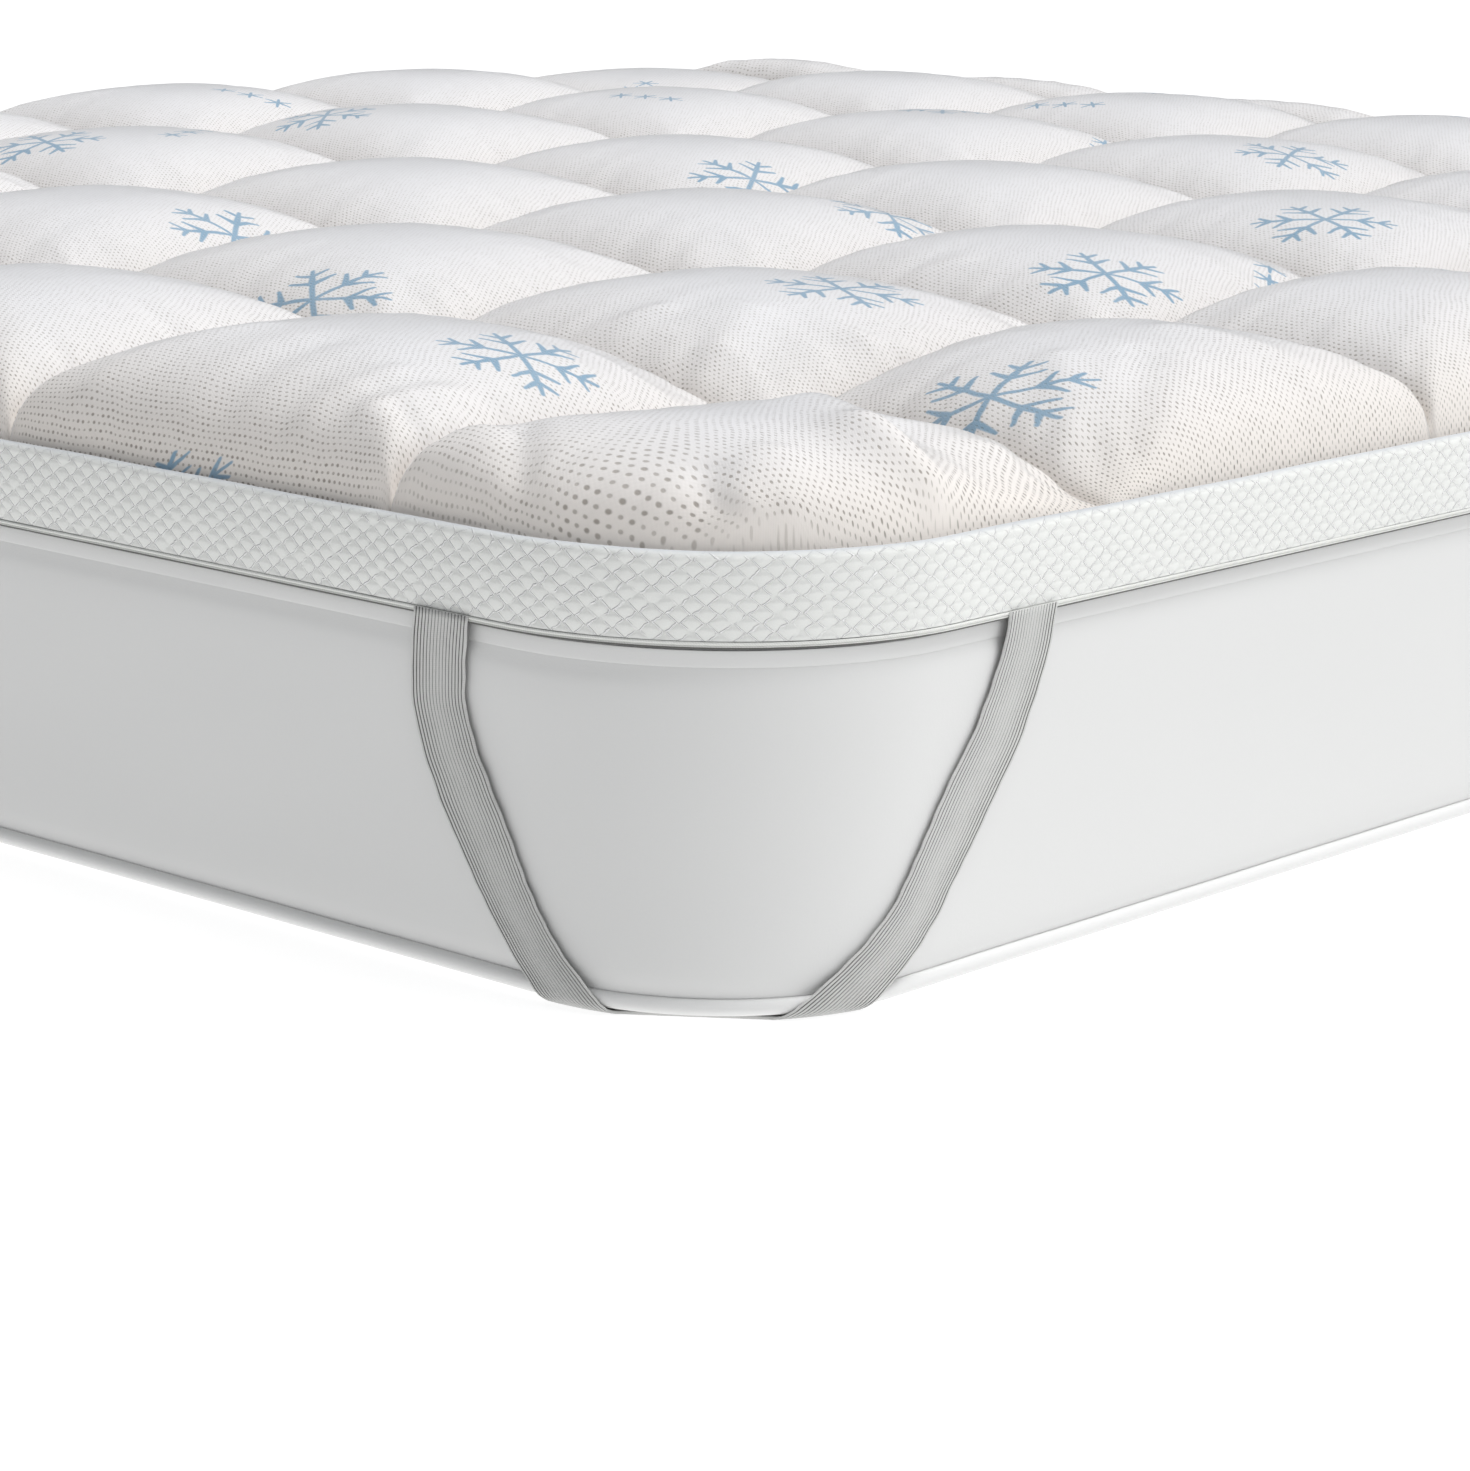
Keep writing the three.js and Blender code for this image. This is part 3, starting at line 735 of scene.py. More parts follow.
class Lines:
    """Grid lines across the boxes of one direction."""

    def __init__(self, overall, channels, cells, seam_floor):
        self.edges = np.array([QUILT_INSET] + list(channels) + [overall - QUILT_INSET])
        places = []
        boxes = []
        for box, count in enumerate(cells):
            low, high = self.edges[box : box + 2]
            even = np.linspace(-1.0, 1.0, count + 1)
            crowded = np.sin(even * math.pi / 2)
            across = EVEN_SHARE * even + CROWDED_SHARE * crowded
            start = 0 if box == 0 else 1
            places += list((low + high) / 2 + (high - low) / 2 * across[start:])
            boxes += [box] * count
        self.places = np.array(places)
        self.cell_boxes = np.array(boxes)
        self.boxes = np.append(self.cell_boxes, self.cell_boxes[-1])
        low = self.edges[self.boxes]
        high = self.edges[self.boxes + 1]
        self.gap = np.minimum(self.places - low, high - self.places)
        half = (high - low) / 2 - seam_floor / 2
        self.across = 1.0 - np.clip((self.gap - seam_floor / 2) / half, 0.0, 1.0)


def rounded_plan(x, y):
    """Squeezes the square corners of a grid into the round corners of the outline."""
    radius = TOPPER_CORNER - QUILT_INSET
    centre_x = HALF_WIDTH - TOPPER_CORNER
    centre_y = HALF_LENGTH - TOPPER_CORNER
    across = np.maximum(np.abs(x) - centre_x, 0.0) / radius
    along = np.maximum(np.abs(y) - centre_y, 0.0) / radius
    both = (across > 0) & (along > 0)
    round_x = centre_x + radius * across * np.sqrt(np.maximum(1.0 - along**2 / 2, 0.0))
    round_y = centre_y + radius * along * np.sqrt(np.maximum(1.0 - across**2 / 2, 0.0))
    return np.where(both, np.sign(x) * round_x, x), np.where(both, np.sign(y) * round_y, y)


def crowns(lines_x, lines_y, crown):
    """How far each box stands up, row by row."""
    random = np.random.default_rng(SEED)
    table = random.uniform(-1.0, 1.0, (len(CELLS_ALONG), len(CELLS_ACROSS))) * BOX_UNEVENNESS
    for row, column, share in BOX_LEVELS:
        table[row, column] = share - 1.0
    for row, size_y in enumerate(np.diff(lines_y.edges)):
        for column, size_x in enumerate(np.diff(lines_x.edges)):
            narrow = min(size_x / FULL_ACROSS, size_y / FULL_ALONG, 1.0)
            share = BOX_SHARES[(row in BORDER_ROWS) + (column in BORDER_COLUMNS)]
            share *= 1 - NARROW_BOX_LOSS * (1 - narrow)
            table[row, column] = crown * share * (1 + table[row, column])
    return table


def pillow(across, along):
    """The height of a filled box, 0 on its channels and 1 in the middle."""
    gap_across = np.maximum(1.0 - np.abs(across) ** SIDE_SQUARENESS, 1e-9)
    gap_along = np.maximum(1.0 - np.abs(along) ** SIDE_SQUARENESS, 1e-9)
    hold = gap_across**-CORNER_FULLNESS + gap_along**-CORNER_FULLNESS - 1.0
    height = hold ** (-CROWN_FULLNESS / CORNER_FULLNESS)
    return np.where((gap_across < 1e-6) | (gap_along < 1e-6), 0.0, height)


def sagged(share, place_x, place_y):
    """Lowers the puffs round the crossings of the channels."""
    crossings = [
        (place_across, place_along, CROSSING_REACH, CROSSING_SAG)
        for place_across in CHANNELS_ACROSS
        for place_along in CHANNELS_ALONG
    ]
    for sag_x, sag_y, reach, loss in list(SAGS) + crossings[1:]:
        share = share * (1.0 - loss * bell(place_x - sag_x, place_y - sag_y, reach))
    return share


# Gathers along the seams: length of one wave, height and how far in it stands highest.
PUCKERS = ((0.026, 0.0008, 0.016), (0.021, 0.0005, 0.013), (0.048, 0.0009, 0.026))


def pucker_side(random, along_side, gap, middle):
    """Small gathers along one sewn side of the boxes, in metres of lift."""
    result = np.zeros_like(gap)
    drawn = (along_side - middle) * (1.0 + gap * 4.0)
    for length, height, reach in PUCKERS:
        phase = random.uniform(0, 2 * math.pi)
        drift = random.uniform(0, 2 * math.pi)
        swell = 0.55 + 0.45 * np.sin(drawn * 2 * math.pi / (length * 3.7) + drift)
        wave = np.sin(drawn * 2 * math.pi / length + phase + 0.9 * np.sin(drawn * 31 + drift))
        rise = gap / reach * np.exp(1.0 - gap / reach)
        result += height * swell * wave * rise
    return result


# Folds listed one by one: where each starts and ends, measured in from the +X side and from the
# foot of the bed, its half width, and how far it stands up, or sinks where that is negative.
FOLDS = (
    ((0.210, 0.062), (0.158, 0.008), 0.0070, -0.0042),
    ((0.262, 0.110), (0.210, 0.062), 0.0120, -0.0022),
    ((0.070, 0.056), (0.024, 0.010), 0.0070, -0.0040),
    ((0.060, 0.090), (0.014, 0.048), 0.0120, 0.0036),
    ((0.130, 0.208), (0.062, 0.163), 0.0150, 0.0072),
    ((0.062, 0.163), (0.010, 0.166), 0.0140, 0.0078),
    ((0.080, 0.215), (0.030, 0.225), 0.0150, -0.0040),
    ((0.427, 0.320), (0.392, 0.370), 0.0060, 0.0030),
    ((0.400, 0.318), (0.372, 0.352), 0.0050, 0.0022),
    ((0.360, 0.318), (0.328, 0.350), 0.0055, 0.0028),
    ((0.290, 0.425), (0.268, 0.458), 0.0060, 0.0028),
    ((0.286, 0.470), (0.266, 0.505), 0.0055, 0.0022),
    ((0.362, 0.640), (0.332, 0.672), 0.0060, 0.0028),
    ((0.441, 0.640), (0.410, 0.678), 0.0060, 0.0028),
    ((0.296, 0.036), (0.288, 0.092), 0.0070, 0.0030),
    ((0.330, 0.030), (0.322, 0.080), 0.0080, 0.0024),
    ((0.400, 0.030), (0.396, 0.100), 0.0120, -0.0022),
    ((0.500, 0.028), (0.470, 0.110), 0.0110, 0.0024),
    ((0.060, 0.340), (0.110, 0.390), 0.0080, 0.0030),
    ((0.030, 0.350), (0.080, 0.430), 0.0090, -0.0028),
    ((0.034, 0.520), (0.110, 0.500), 0.0120, 0.0026),
    ((0.318, 0.330), (0.350, 0.400), 0.0110, 0.0028),
)


def fold_lift(place_x, place_y):
    """How far the folds stand up, in metres."""
    result = np.zeros_like(place_x)
    for start, end, width, height in FOLDS:
        step_x = end[0] - start[0]
        step_y = end[1] - start[1]
        reach = step_x**2 + step_y**2
        share = ((place_x - start[0]) * step_x + (place_y - start[1]) * step_y) / reach
        share = np.clip(share, 0.0, 1.0)
        away_x = place_x - start[0] - share * step_x
        away_y = place_y - start[1] - share * step_y
        result += height * bell(away_x, away_y, width)
    return result


def running_lengths(points):
    """Length along each grid line from its start."""
    steps = np.linalg.norm(np.diff(points, axis=1), axis=2)
    return np.concatenate([np.zeros((points.shape[0], 1)), np.cumsum(steps, axis=1)], axis=1)


# Gathers that fan out from a box's corners: the least and the most folds, height and reach.
DRAG_FOLDS = (7.0, 11.0)
DRAG_HEIGHT = (0.0004, 0.0011)
DRAG_REACH = (0.036, 0.055)

# Where the knit is drawn wide open: place, reach and share of the cloth drawn away.
PULLS = ((0.104, 0.034, 0.052, 0.50),)

# How much wider the border draws the knit along it, and how much further one way than the other
# the knit may be drawn out before its eyelets fade.
BORDER_SPREAD = 1.18
EVEN_LIMIT = 1.5

# How hard a side draws the knit towards it and how far in: at the border and at a channel.
BORDER_PULL = (0.8, 0.050)
CHANNEL_PULL = (0.5, 0.022)

# Creases leave a bare strip along each seam and are full a little further in.
CREASE_MARGIN = 0.0015
CREASE_RISE = 0.010

# Share of the puckers that the border keeps, and how far a crown leans and is hollowed.
BORDER_PUCKER_SHARE = 0.35
LEAN = 0.0012
HOLLOW = 0.0006

# The seams wander sideways, less within a margin along the border. Each wave: its size, its
# turns along the seam and from seam to seam, and where it starts.
WANDER_MARGIN = 0.12
WANDER_ACROSS = ((0.0016, 23.0, 0.0, 1.7), (0.0012, 51.0, 9.0, 0.0))
WANDER_ALONG = ((0.0016, 21.0, 0.0, 0.6), (0.0012, 47.0, -8.0, 0.0))

# The knit's coordinates are shifted on each box, by its row and by its column.
KNIT_SHIFT = (0.31, 0.17)

# Keeps the gathers of the seams that run along the bed apart from those across it.
APART = 5.0

# Stands for a border that is nowhere near.
FAR_OFF = 9.0


def seam_wander(along, across, table):
    """How far seams lie off their straight lines."""
    result = np.zeros_like(along)
    for size, turns, drift, start in table:
        result += size * np.sin(along * turns + across * drift + start)
    return result


def border_sides(row, column):
    """Which sides of a box lie at the border: low and high across, low and high along."""
    return column == 0, column == BORDER_COLUMNS[1], row == 0, row == BORDER_ROWS[1]


def along_arc(place, places, arc):
    """The cloth length at a place in plan, by a table of both."""
    return np.interp(place, places, arc) + place - np.clip(place, places[0], places[-1])


def side_pull(gap, whole, low_at_border, high_at_border):
    """How far a box's sides draw the knit towards them, for distances from its low side."""
    shift = np.zeros_like(gap)
    for distance, at_border, way in (
        (gap, low_at_border, 1.0),
        (whole - gap, high_at_border, -1.0),
    ):
        pull, reach = BORDER_PULL if at_border else CHANNEL_PULL
        shift += way * reach * (np.log(np.exp(distance / reach) + pull) - distance / reach)
    return shift


def nearest_layer(corners, distance):
    """For each cell, the coordinates of the layer that is nearest to it."""
    nearest = np.argmin(distance, axis=0)
    return np.take_along_axis(corners, nearest[None, :, :, None, None], axis=0)[0]


class Quilt:
    """The quilt's grid of points and its cloth coordinates."""

    def __init__(self, sizes):
        floor = sizes.seam_floor
        self.across = Lines(2 * HALF_WIDTH, CHANNELS_ACROSS, CELLS_ACROSS, floor)
        self.along = Lines(2 * HALF_LENGTH, CHANNELS_ALONG, CELLS_ALONG, floor)
        self.first_x = np.concatenate([[0], np.cumsum(CELLS_ACROSS)])
        self.first_y = np.concatenate([[0], np.cumsum(CELLS_ALONG)])
        self.place_x, self.place_y = np.meshgrid(self.across.places, self.along.places)
        crown = crowns(self.across, self.along, sizes.crown)
        share = pillow(self.across.across[None, :], self.along.across[:, None])
        share = sagged(share, self.place_x, self.place_y)
        self.lift = crown[self.along.boxes][:, self.across.boxes] * share
        hold = np.clip(share / 0.5, 0.0, 1.0)
        for swell_x, swell_y, reach, height in SWELLS:
            swell = bell(self.place_x - swell_x, self.place_y - swell_y, reach)
            self.lift += hold * height * swell
        self.points = self.smooth_points()
        self.run_x = running_lengths(self.points)
        self.run_y = running_lengths(self.points.transpose(1, 0, 2)).T
        self.work_creases()

    def boxes(self):
        """Row, column and grid window of each box, its sides included."""
        for row in range(len(CELLS_ALONG)):
            for column in range(len(CELLS_ACROSS)):
                rows = slice(self.first_y[row], self.first_y[row + 1] + 1)
                columns = slice(self.first_x[column], self.first_x[column + 1] + 1)
                yield row, column, (rows, columns)

    def smooth_points(self):
        """The points of the filled boxes, before any crease, with gently wandering seams."""
        x, y = rounded_plan(HALF_WIDTH - self.place_x, self.place_y - HALF_LENGTH)
        margin_x = HALF_WIDTH - np.abs(x) - QUILT_INSET
        margin_y = HALF_LENGTH - np.abs(y) - QUILT_INSET
        inside_x = np.clip(margin_x / WANDER_MARGIN, 0.0, 1.0)
        inside_y = np.clip(margin_y / WANDER_MARGIN, 0.0, 1.0)
        wander_x = seam_wander(y, x, WANDER_ACROSS)
        wander_y = seam_wander(x, y, WANDER_ALONG)
        x = x + wander_x * inside_x * inside_y
        y = y + wander_y * inside_x * inside_y
        return np.stack([x, y, CHANNEL_HEIGHT + self.lift], axis=2)

    def side_lengths(self, window):
        """Cloth lengths over one box from each of its four sides."""
        x = self.run_x[window]
        y = self.run_y[window]
        return x - x[:, :1], x[:, -1:] - x, y - y[:1], y[-1:] - y

    def work_creases(self):
        """Lifts the points along their normals by every pucker, drag and fold."""
        random = np.random.default_rng(SEED + 1)
        lift = np.zeros_like(self.lift)
        for row, column, window in self.boxes():
            lift[window] = self.box_creases(random, row, column, window)
        lift += fold_lift(self.place_x, self.place_y)
        gap = np.minimum(self.across.gap[None, :], self.along.gap[:, None])
        lift *= np.clip((gap - CREASE_MARGIN) / CREASE_RISE, 0.0, 1.0)
        self.points = self.points + self.normals() * lift[:, :, None]

    def box_creases(self, random, row, column, window):
        """Puckers along a box's sides, drags from its corners and a slight lean of its crown."""
        x = self.place_x[window]
        y = self.place_y[window]
        start_x, end_x = self.across.edges[column : column + 2]
        start_y, end_y = self.along.edges[row : row + 2]
        middle_x = (start_x + end_x) / 2
        middle_y = (start_y + end_y) / 2
        gaps = (x - start_x, end_x - x, y - start_y, end_y - y)
        places = ((y, middle_y), (y, middle_y), (x, middle_x), (x, middle_x))
        lift = np.zeros_like(x)
        for gap, (place, middle), at_border in zip(gaps, places, border_sides(row, column)):
            gathers = pucker_side(random, place, np.maximum(gap, 0.0), middle)
            lift += gathers * (BORDER_PUCKER_SHARE if at_border else 1.0)
        lift += self.corner_drags(random, *gaps)
        lean_x, lean_y, hollow = random.uniform(-1.0, 1.0, 3)
        u = (x - middle_x) / (end_x - middle_x)
        v = (y - middle_y) / (end_y - middle_y)
        soft = np.clip(1.0 - u**2, 0.0, 1.0) * np.clip(1.0 - v**2, 0.0, 1.0)
        lift += soft * (LEAN * lean_x * u + LEAN * lean_y * v)
        dent = soft * HOLLOW * hollow
        lift += dent * np.sin(u * 3.1 + lean_x * 3) * np.sin(v * 2.7 + lean_y * 3)
        return lift

    def corner_drags(self, random, low_x, high_x, low_y, high_y):
        """Gathers that fan out from the four crossings of a box."""
        lift = np.zeros_like(low_x)
        for gap_x, gap_y in ((low_x, low_y), (high_x, low_y), (low_x, high_y), (high_x, high_y)):
            turn = np.arctan2(np.maximum(gap_y, 1e-6), np.maximum(gap_x, 1e-6))
            reach = np.hypot(gap_x, gap_y)
            folds = random.uniform(*DRAG_FOLDS)
            phase = random.uniform(0, 2 * math.pi)
            height = random.uniform(*DRAG_HEIGHT)
            spread = random.uniform(*DRAG_REACH)
            rise = (reach / spread) ** 2 * np.exp(2.0 - 2.0 * reach / spread)
            bound = np.sin(np.clip(turn, 0.0, math.pi / 2) * 2.0)
            lift += height * rise * bound * np.sin(turn * folds + phase)
        return lift

    def normals(self):
        """Upward directions square to the quilt's surface."""
        step_x = np.gradient(self.points, axis=1)
        step_y = np.gradient(self.points, axis=0)
        normal = np.cross(step_y, step_x)
        normal /= np.linalg.norm(normal, axis=2, keepdims=True) + TINY
        return normal * np.sign(normal[:, :, 2:3] + TINY)

    def knit_place(self, row, column, window):
        """Knit coordinates over one box, drawn wider where the border stretches the cloth."""
        rows, columns = window
        middle_row = (rows.start + rows.stop) // 2
        middle_column = (columns.start + columns.stop) // 2
        plan_x = HALF_WIDTH - self.points[window][:, :, 0]
        plan_y = HALF_LENGTH + self.points[window][:, :, 1]
        arc_x = self.run_x[middle_row, columns] - self.run_x[middle_row, columns.start]
        arc_y = self.run_y[rows, middle_column] - self.run_y[rows.start, middle_column]
        x = along_arc(plan_x, self.across.places[columns], arc_x)
        y = along_arc(plan_y, self.along.places[rows], arc_y)
        if row in BORDER_ROWS and column in BORDER_COLUMNS:
            x, y = self.corner_arc(x, y, plan_x, plan_y, (columns, rows), (arc_x, arc_y))
        for pull_x, pull_y, reach, share in PULLS:
            if not self.holds(row, column, pull_x, pull_y):
                continue
            at_x = np.interp(pull_x, self.across.places[columns], arc_x)
            at_y = np.interp(pull_y, self.along.places[rows], arc_y)
            held = share * bell(x - at_x, y - at_y, reach)
            x, y = x - (x - at_x) * held, y - (y - at_y) * held
        spread_x = BORDER_SPREAD if row in BORDER_ROWS else 1.0
        spread_y = BORDER_SPREAD if column in BORDER_COLUMNS else 1.0
        at_border = border_sides(row, column)
        x = (x + side_pull(x, arc_x[-1], *at_border[:2])) / spread_x
        y = (y + side_pull(y, arc_y[-1], *at_border[2:])) / spread_y
        return np.stack([x - arc_x[-1] / 2, y - arc_y[-1] / 2], axis=2)

    def corner_arc(self, x, y, plan_x, plan_y, parts, arcs):
        """Knit coordinates that run straight out to the round corner, down its steep slope."""
        radius = TOPPER_CORNER - QUILT_INSET
        aways = []
        centres = []
        ways = []
        tables = zip((plan_x, plan_y), (self.across, self.along), parts, arcs)
        for plan, lines, part, arc in tables:
            low_side = part.start == 0
            places = lines.places[part]
            edge = places[0] if low_side else places[-1]
            way = 1.0 if low_side else -1.0
            centre = edge + way * radius
            aways.append((centre - plan) * way)
            centres.append(np.interp(centre, places, arc))
            ways.append(way)
        places = self.across.places[parts[0]]
        gaps = places - places[0]
        from_edge = arcs[0]
        if ways[0] < 0:
            gaps = gaps[-1] - gaps[::-1]
            from_edge = from_edge[-1] - from_edge[::-1]
        reach = np.hypot(np.maximum(aways[0], 0.0), np.maximum(aways[1], 0.0)) + 1e-9
        gap = np.clip(radius - reach, 0.0, radius)
        slope_length = np.interp(radius, gaps, from_edge) - np.interp(gap, gaps, from_edge)
        in_corner = (aways[0] > 0) & (aways[1] > 0)
        out_x = centres[0] - ways[0] * slope_length * aways[0] / reach
        out_y = centres[1] - ways[1] * slope_length * aways[1] / reach
        return np.where(in_corner, out_x, x), np.where(in_corner, out_y, y)

    def even_share(self):
        """1 where the knit lies even, falling where it is drawn out one way."""
        result = np.ones_like(self.lift)
        for row, column, window in self.boxes():
            knit = self.knit_place(row, column, window)
            cloth_steps = np.stack(np.gradient(self.points[window], axis=(0, 1)), axis=2)
            knit_steps = np.stack(np.gradient(knit, axis=(0, 1)), axis=2)
            stretch = np.linalg.svd(np.linalg.pinv(knit_steps) @ cloth_steps, compute_uv=False)
            uneven = stretch[..., 0] / (stretch[..., 1] + 1e-6)
            result[window] = 1.0 - np.clip((uneven - EVEN_LIMIT) / EVEN_LIMIT, 0.0, 1.0)
        return result

    def holds(self, row, column, place_x, place_y):
        """Whether a place lies in a box."""
        in_x = self.across.edges[column] <= place_x < self.across.edges[column + 1]
        in_y = self.along.edges[row] <= place_y < self.along.edges[row + 1]
        return in_x and in_y

    def gather_place(self, row, column, window):
        """Place along the nearest seam between two boxes, and distance from it."""
        x = self.place_x[window]
        y = self.place_y[window] + APART
        sides = zip((y, y, x, x), self.side_lengths(window), border_sides(row, column))
        inner = [np.stack([place, gap], axis=2) for place, gap, at_border in sides if not at_border]
        corners = np.array([cell_corners(side) for side in inner])
        return nearest_layer(corners, corners[..., 1].mean(axis=3))

    def print_places(self, row, column, window, motifs):
        """Print coordinates over one box, from the nearest of its motifs."""
        x, _, y, _ = self.side_lengths(window)
        inside = []
        for place_x, place_y, turn in motifs:
            on_quilt_x = np.clip(place_x, QUILT_INSET, 2 * HALF_WIDTH - QUILT_INSET - MM)
            on_quilt_y = np.clip(place_y, QUILT_INSET, 2 * HALF_LENGTH - QUILT_INSET - MM)
            if not self.holds(row, column, on_quilt_x, on_quilt_y):
                continue
            away_x = self.place_x[window] - on_quilt_x
            away_y = self.place_y[window] - on_quilt_y
            away = away_x**2 + away_y**2
            nearest = np.unravel_index(np.argmin(away), away.shape)
            shift_x = x - x[nearest] - (place_x - on_quilt_x)
            shift_y = y - y[nearest] - (place_y - on_quilt_y)
            cosine = math.cos(math.radians(turn))
            sine = math.sin(math.radians(turn))
            turned_x = -shift_x * cosine + shift_y * sine
            turned_y = shift_x * sine + shift_y * cosine
            inside.append(np.stack([turned_x, turned_y], axis=2))
        if not inside:
            return np.full(cell_corners(np.stack([x, y], axis=2)).shape, NO_PRINT)
        corners = np.array([cell_corners(layer) for layer in inside])
        return nearest_layer(corners, np.linalg.norm(corners.mean(axis=3), axis=3))

    def low_on_puffs(self, border_reach, channel_reach, channel_share):
        """1 at the foot of the outer slopes, less at the channels, and 0 on top of the puffs."""
        result = np.zeros_like(self.lift)
        for row, column, window in self.boxes():
            gaps = self.side_lengths(window)
            channel = np.min(gaps, axis=0)
            border = np.full_like(channel, FAR_OFF)
            for gap, at_border in zip(gaps, border_sides(row, column)):
                border = np.minimum(border, gap) if at_border else border
            near_border = np.exp(-((border / border_reach) ** 1.5))
            near_channel = channel_share * np.exp(-((channel / channel_reach) ** 1.5))
            result[window] = np.maximum(near_border, near_channel)
        return result


# Printed snow crystals: distance in from the +X side and from the foot, and turn in degrees. One
# whose middle lies past the quilt's edge shows in part.
CRYSTALS = (
    (0.315, 0.169, 32), (0.114, 0.336, 53), (0.653, 0.334, 20), (0.906, 0.490, 10),
    (0.352, 0.491, 25), (0.316, 0.707, 26), (0.623, 0.861, 15), (0.361, 1.023, 35),
    (0.637, 1.385, 50), (0.908, 1.033, 0), (1.359, 0.697, 40), (1.381, 1.015, 12),
    (0.417, -0.012, 60), (1.260, 0.190, 22), (1.640, 0.420, 37), (1.050, 1.450, 8),
    (0.120, 1.480, 48), (1.400, 1.520, 28), (0.400, 1.700, 16), (1.060, 1.790, 33),
    (1.700, 1.800, 4), (0.130, 0.880, 52), (1.700, 0.900, 41),
)

# A print coordinate that lies past any motif, in metres.
NO_PRINT = 1.0

# Rows of three small stars, placed in the same way.
STAR_ROWS = (
    (1.573, 1.110, 10), (1.578, 1.621, -80), (1.324, 1.354, 12), (1.056, 1.640, 15),
    (1.306, 0.808, -70), (0.908, 1.496, -60), (0.284, 0.847, -60), (0.700, 1.780, 25),
    (1.500, 0.260, 15), (0.150, 1.230, -20),
)


def quilt_layers(quilt):
    """The cloth layers of the quilt's faces, in the order of its cells."""
    shape = (len(quilt.along.cell_boxes), len(quilt.across.cell_boxes), 4, 2)
    layers = {name: np.zeros(shape) for name in ("knit", "crystals", "stars", "gathers")}
    for row, column, window in quilt.boxes():
        cells = tuple(slice(part.start, part.stop - 1) for part in window)
        knit = cell_corners(quilt.knit_place(row, column, window))
        shift = row * KNIT_SHIFT[0] + column * KNIT_SHIFT[1]
        layers["knit"][cells] = knit + shift
        layers["crystals"][cells] = quilt.print_places(row, column, window, CRYSTALS)
        layers["stars"][cells] = quilt.print_places(row, column, window, STAR_ROWS)
        layers["gathers"][cells] = quilt.gather_place(row, column, window)
    return {name: turned_over(corners) for name, corners in layers.items()}


# Where the knit is painted a warm shade, and where its eyelets stand open and show more painted
# shade: reach in from the border, reach in from a channel, and how much of it there is at a
# channel.
LOW_SHADE = (0.080, 0.080, 0.75)
OPENNESS_AND_SHADE = (0.100, 0.090, 0.85)

# The quilt's sides from the top down: inset and height.
PAD_SIDES = (
    (0.0104, CHANNEL_HEIGHT - 0.0018),
    (0.0104, CHANNEL_HEIGHT - 0.006),
    (PAD_SIDE_INSET, CHANNEL_HEIGHT - 0.012),
    (PAD_SIDE_INSET, PAD_UNDERSIDE),
)


def edge_index(rows, columns):
    """Point numbers round the edge of a grid, in order."""
    index = grid_index(rows, columns)
    return np.concatenate([index[0, :-1], index[:-1, -1], index[-1, :0:-1], index[:0:-1, 0]])


def outward_from_corner(points):
    """Directions in plan, out of the bed, at points on the quilt's edge."""
    centre_x = HALF_WIDTH - TOPPER_CORNER
    centre_y = HALF_LENGTH - TOPPER_CORNER
    away_x = np.sign(points[:, 0]) * np.maximum(np.abs(points[:, 0]) - centre_x, 0.0)
    away_y = np.sign(points[:, 1]) * np.maximum(np.abs(points[:, 1]) - centre_y, 0.0)
    away = np.column_stack([away_x, away_y])
    return away / (np.linalg.norm(away, axis=1, keepdims=True) + TINY)


def quilt_underside(top, edge):
    """Points down the quilt's sides and under it, and the faces over them."""
    outward = outward_from_corner(top[edge])
    points = []
    rings = [edge]
    for inset, height in PAD_SIDES:
        ring = top[edge].copy()
        ring[:, :2] += outward * (QUILT_INSET - inset)
        ring[:, 2] = height
        rings.append(len(top) + len(edge) * len(points) + np.arange(len(edge)))
        points.append(ring)
    middle = len(top) + len(edge) * len(points)
    points.append(np.array([[0.0, 0.0, PAD_UNDERSIDE]]))
    lowest = rings[-1]
    fan = np.stack([lowest, np.roll(lowest, -1), np.full(len(edge), middle)], axis=1)
    return np.concatenate(points), list(grid_faces(closed(np.array(rings)))) + list(fan)


def build_quilt(sizes, colours):
    """The quilted pad: one closed piece, its top finely shaped."""
    quilt = Quilt(sizes)
    rows, columns = quilt.lift.shape
    top = quilt.points.reshape(-1, 3)
    faces = list(grid_faces(grid_index(rows, columns))[:, ::-1])
    layers = quilt_layers(quilt)
    below, more_faces = quilt_underside(top, edge_index(rows, columns))
    bare = np.full((sum(len(face) for face in more_faces), 2), NO_PRINT)
    layers = {name: np.concatenate([corners, bare]) for name, corners in layers.items()}
    points = np.concatenate([top, below])
    finish = quilt_finish(sizes, colours)
    piece = mesh_piece("quilted_puffs", points, faces + more_faces, layers, finish)
    # Vertex values for the painted shade: the knit's warm shade, and eyelets that open wider and
    # show more painted shade.
    for name, values in (
        ("low_shade", quilt.low_on_puffs(*LOW_SHADE)),
        ("openness_and_shade", quilt.low_on_puffs(*OPENNESS_AND_SHADE) * quilt.even_share()),
    ):
        whole = np.zeros(len(points))
        whole[: len(top)] = values.ravel()
        piece.data.attributes.new(name, "FLOAT", "POINT").data.foreach_set("value", whole)
    settle(piece, "quilted_knit", "quilted_pad")
    return quilt


STITCH_SIDES = 5
STITCH_SHARE = 0.80
STITCH_WIDENING = 1.2

# A stitch along its length: place, girth and how far it stands up, in thread thicknesses.
STITCH_RINGS = ((0.0, 0.0, -0.45), (0.2, 0.85, 0.1), (0.8, 0.85, 0.1), (1.0, 0.0, -0.45))


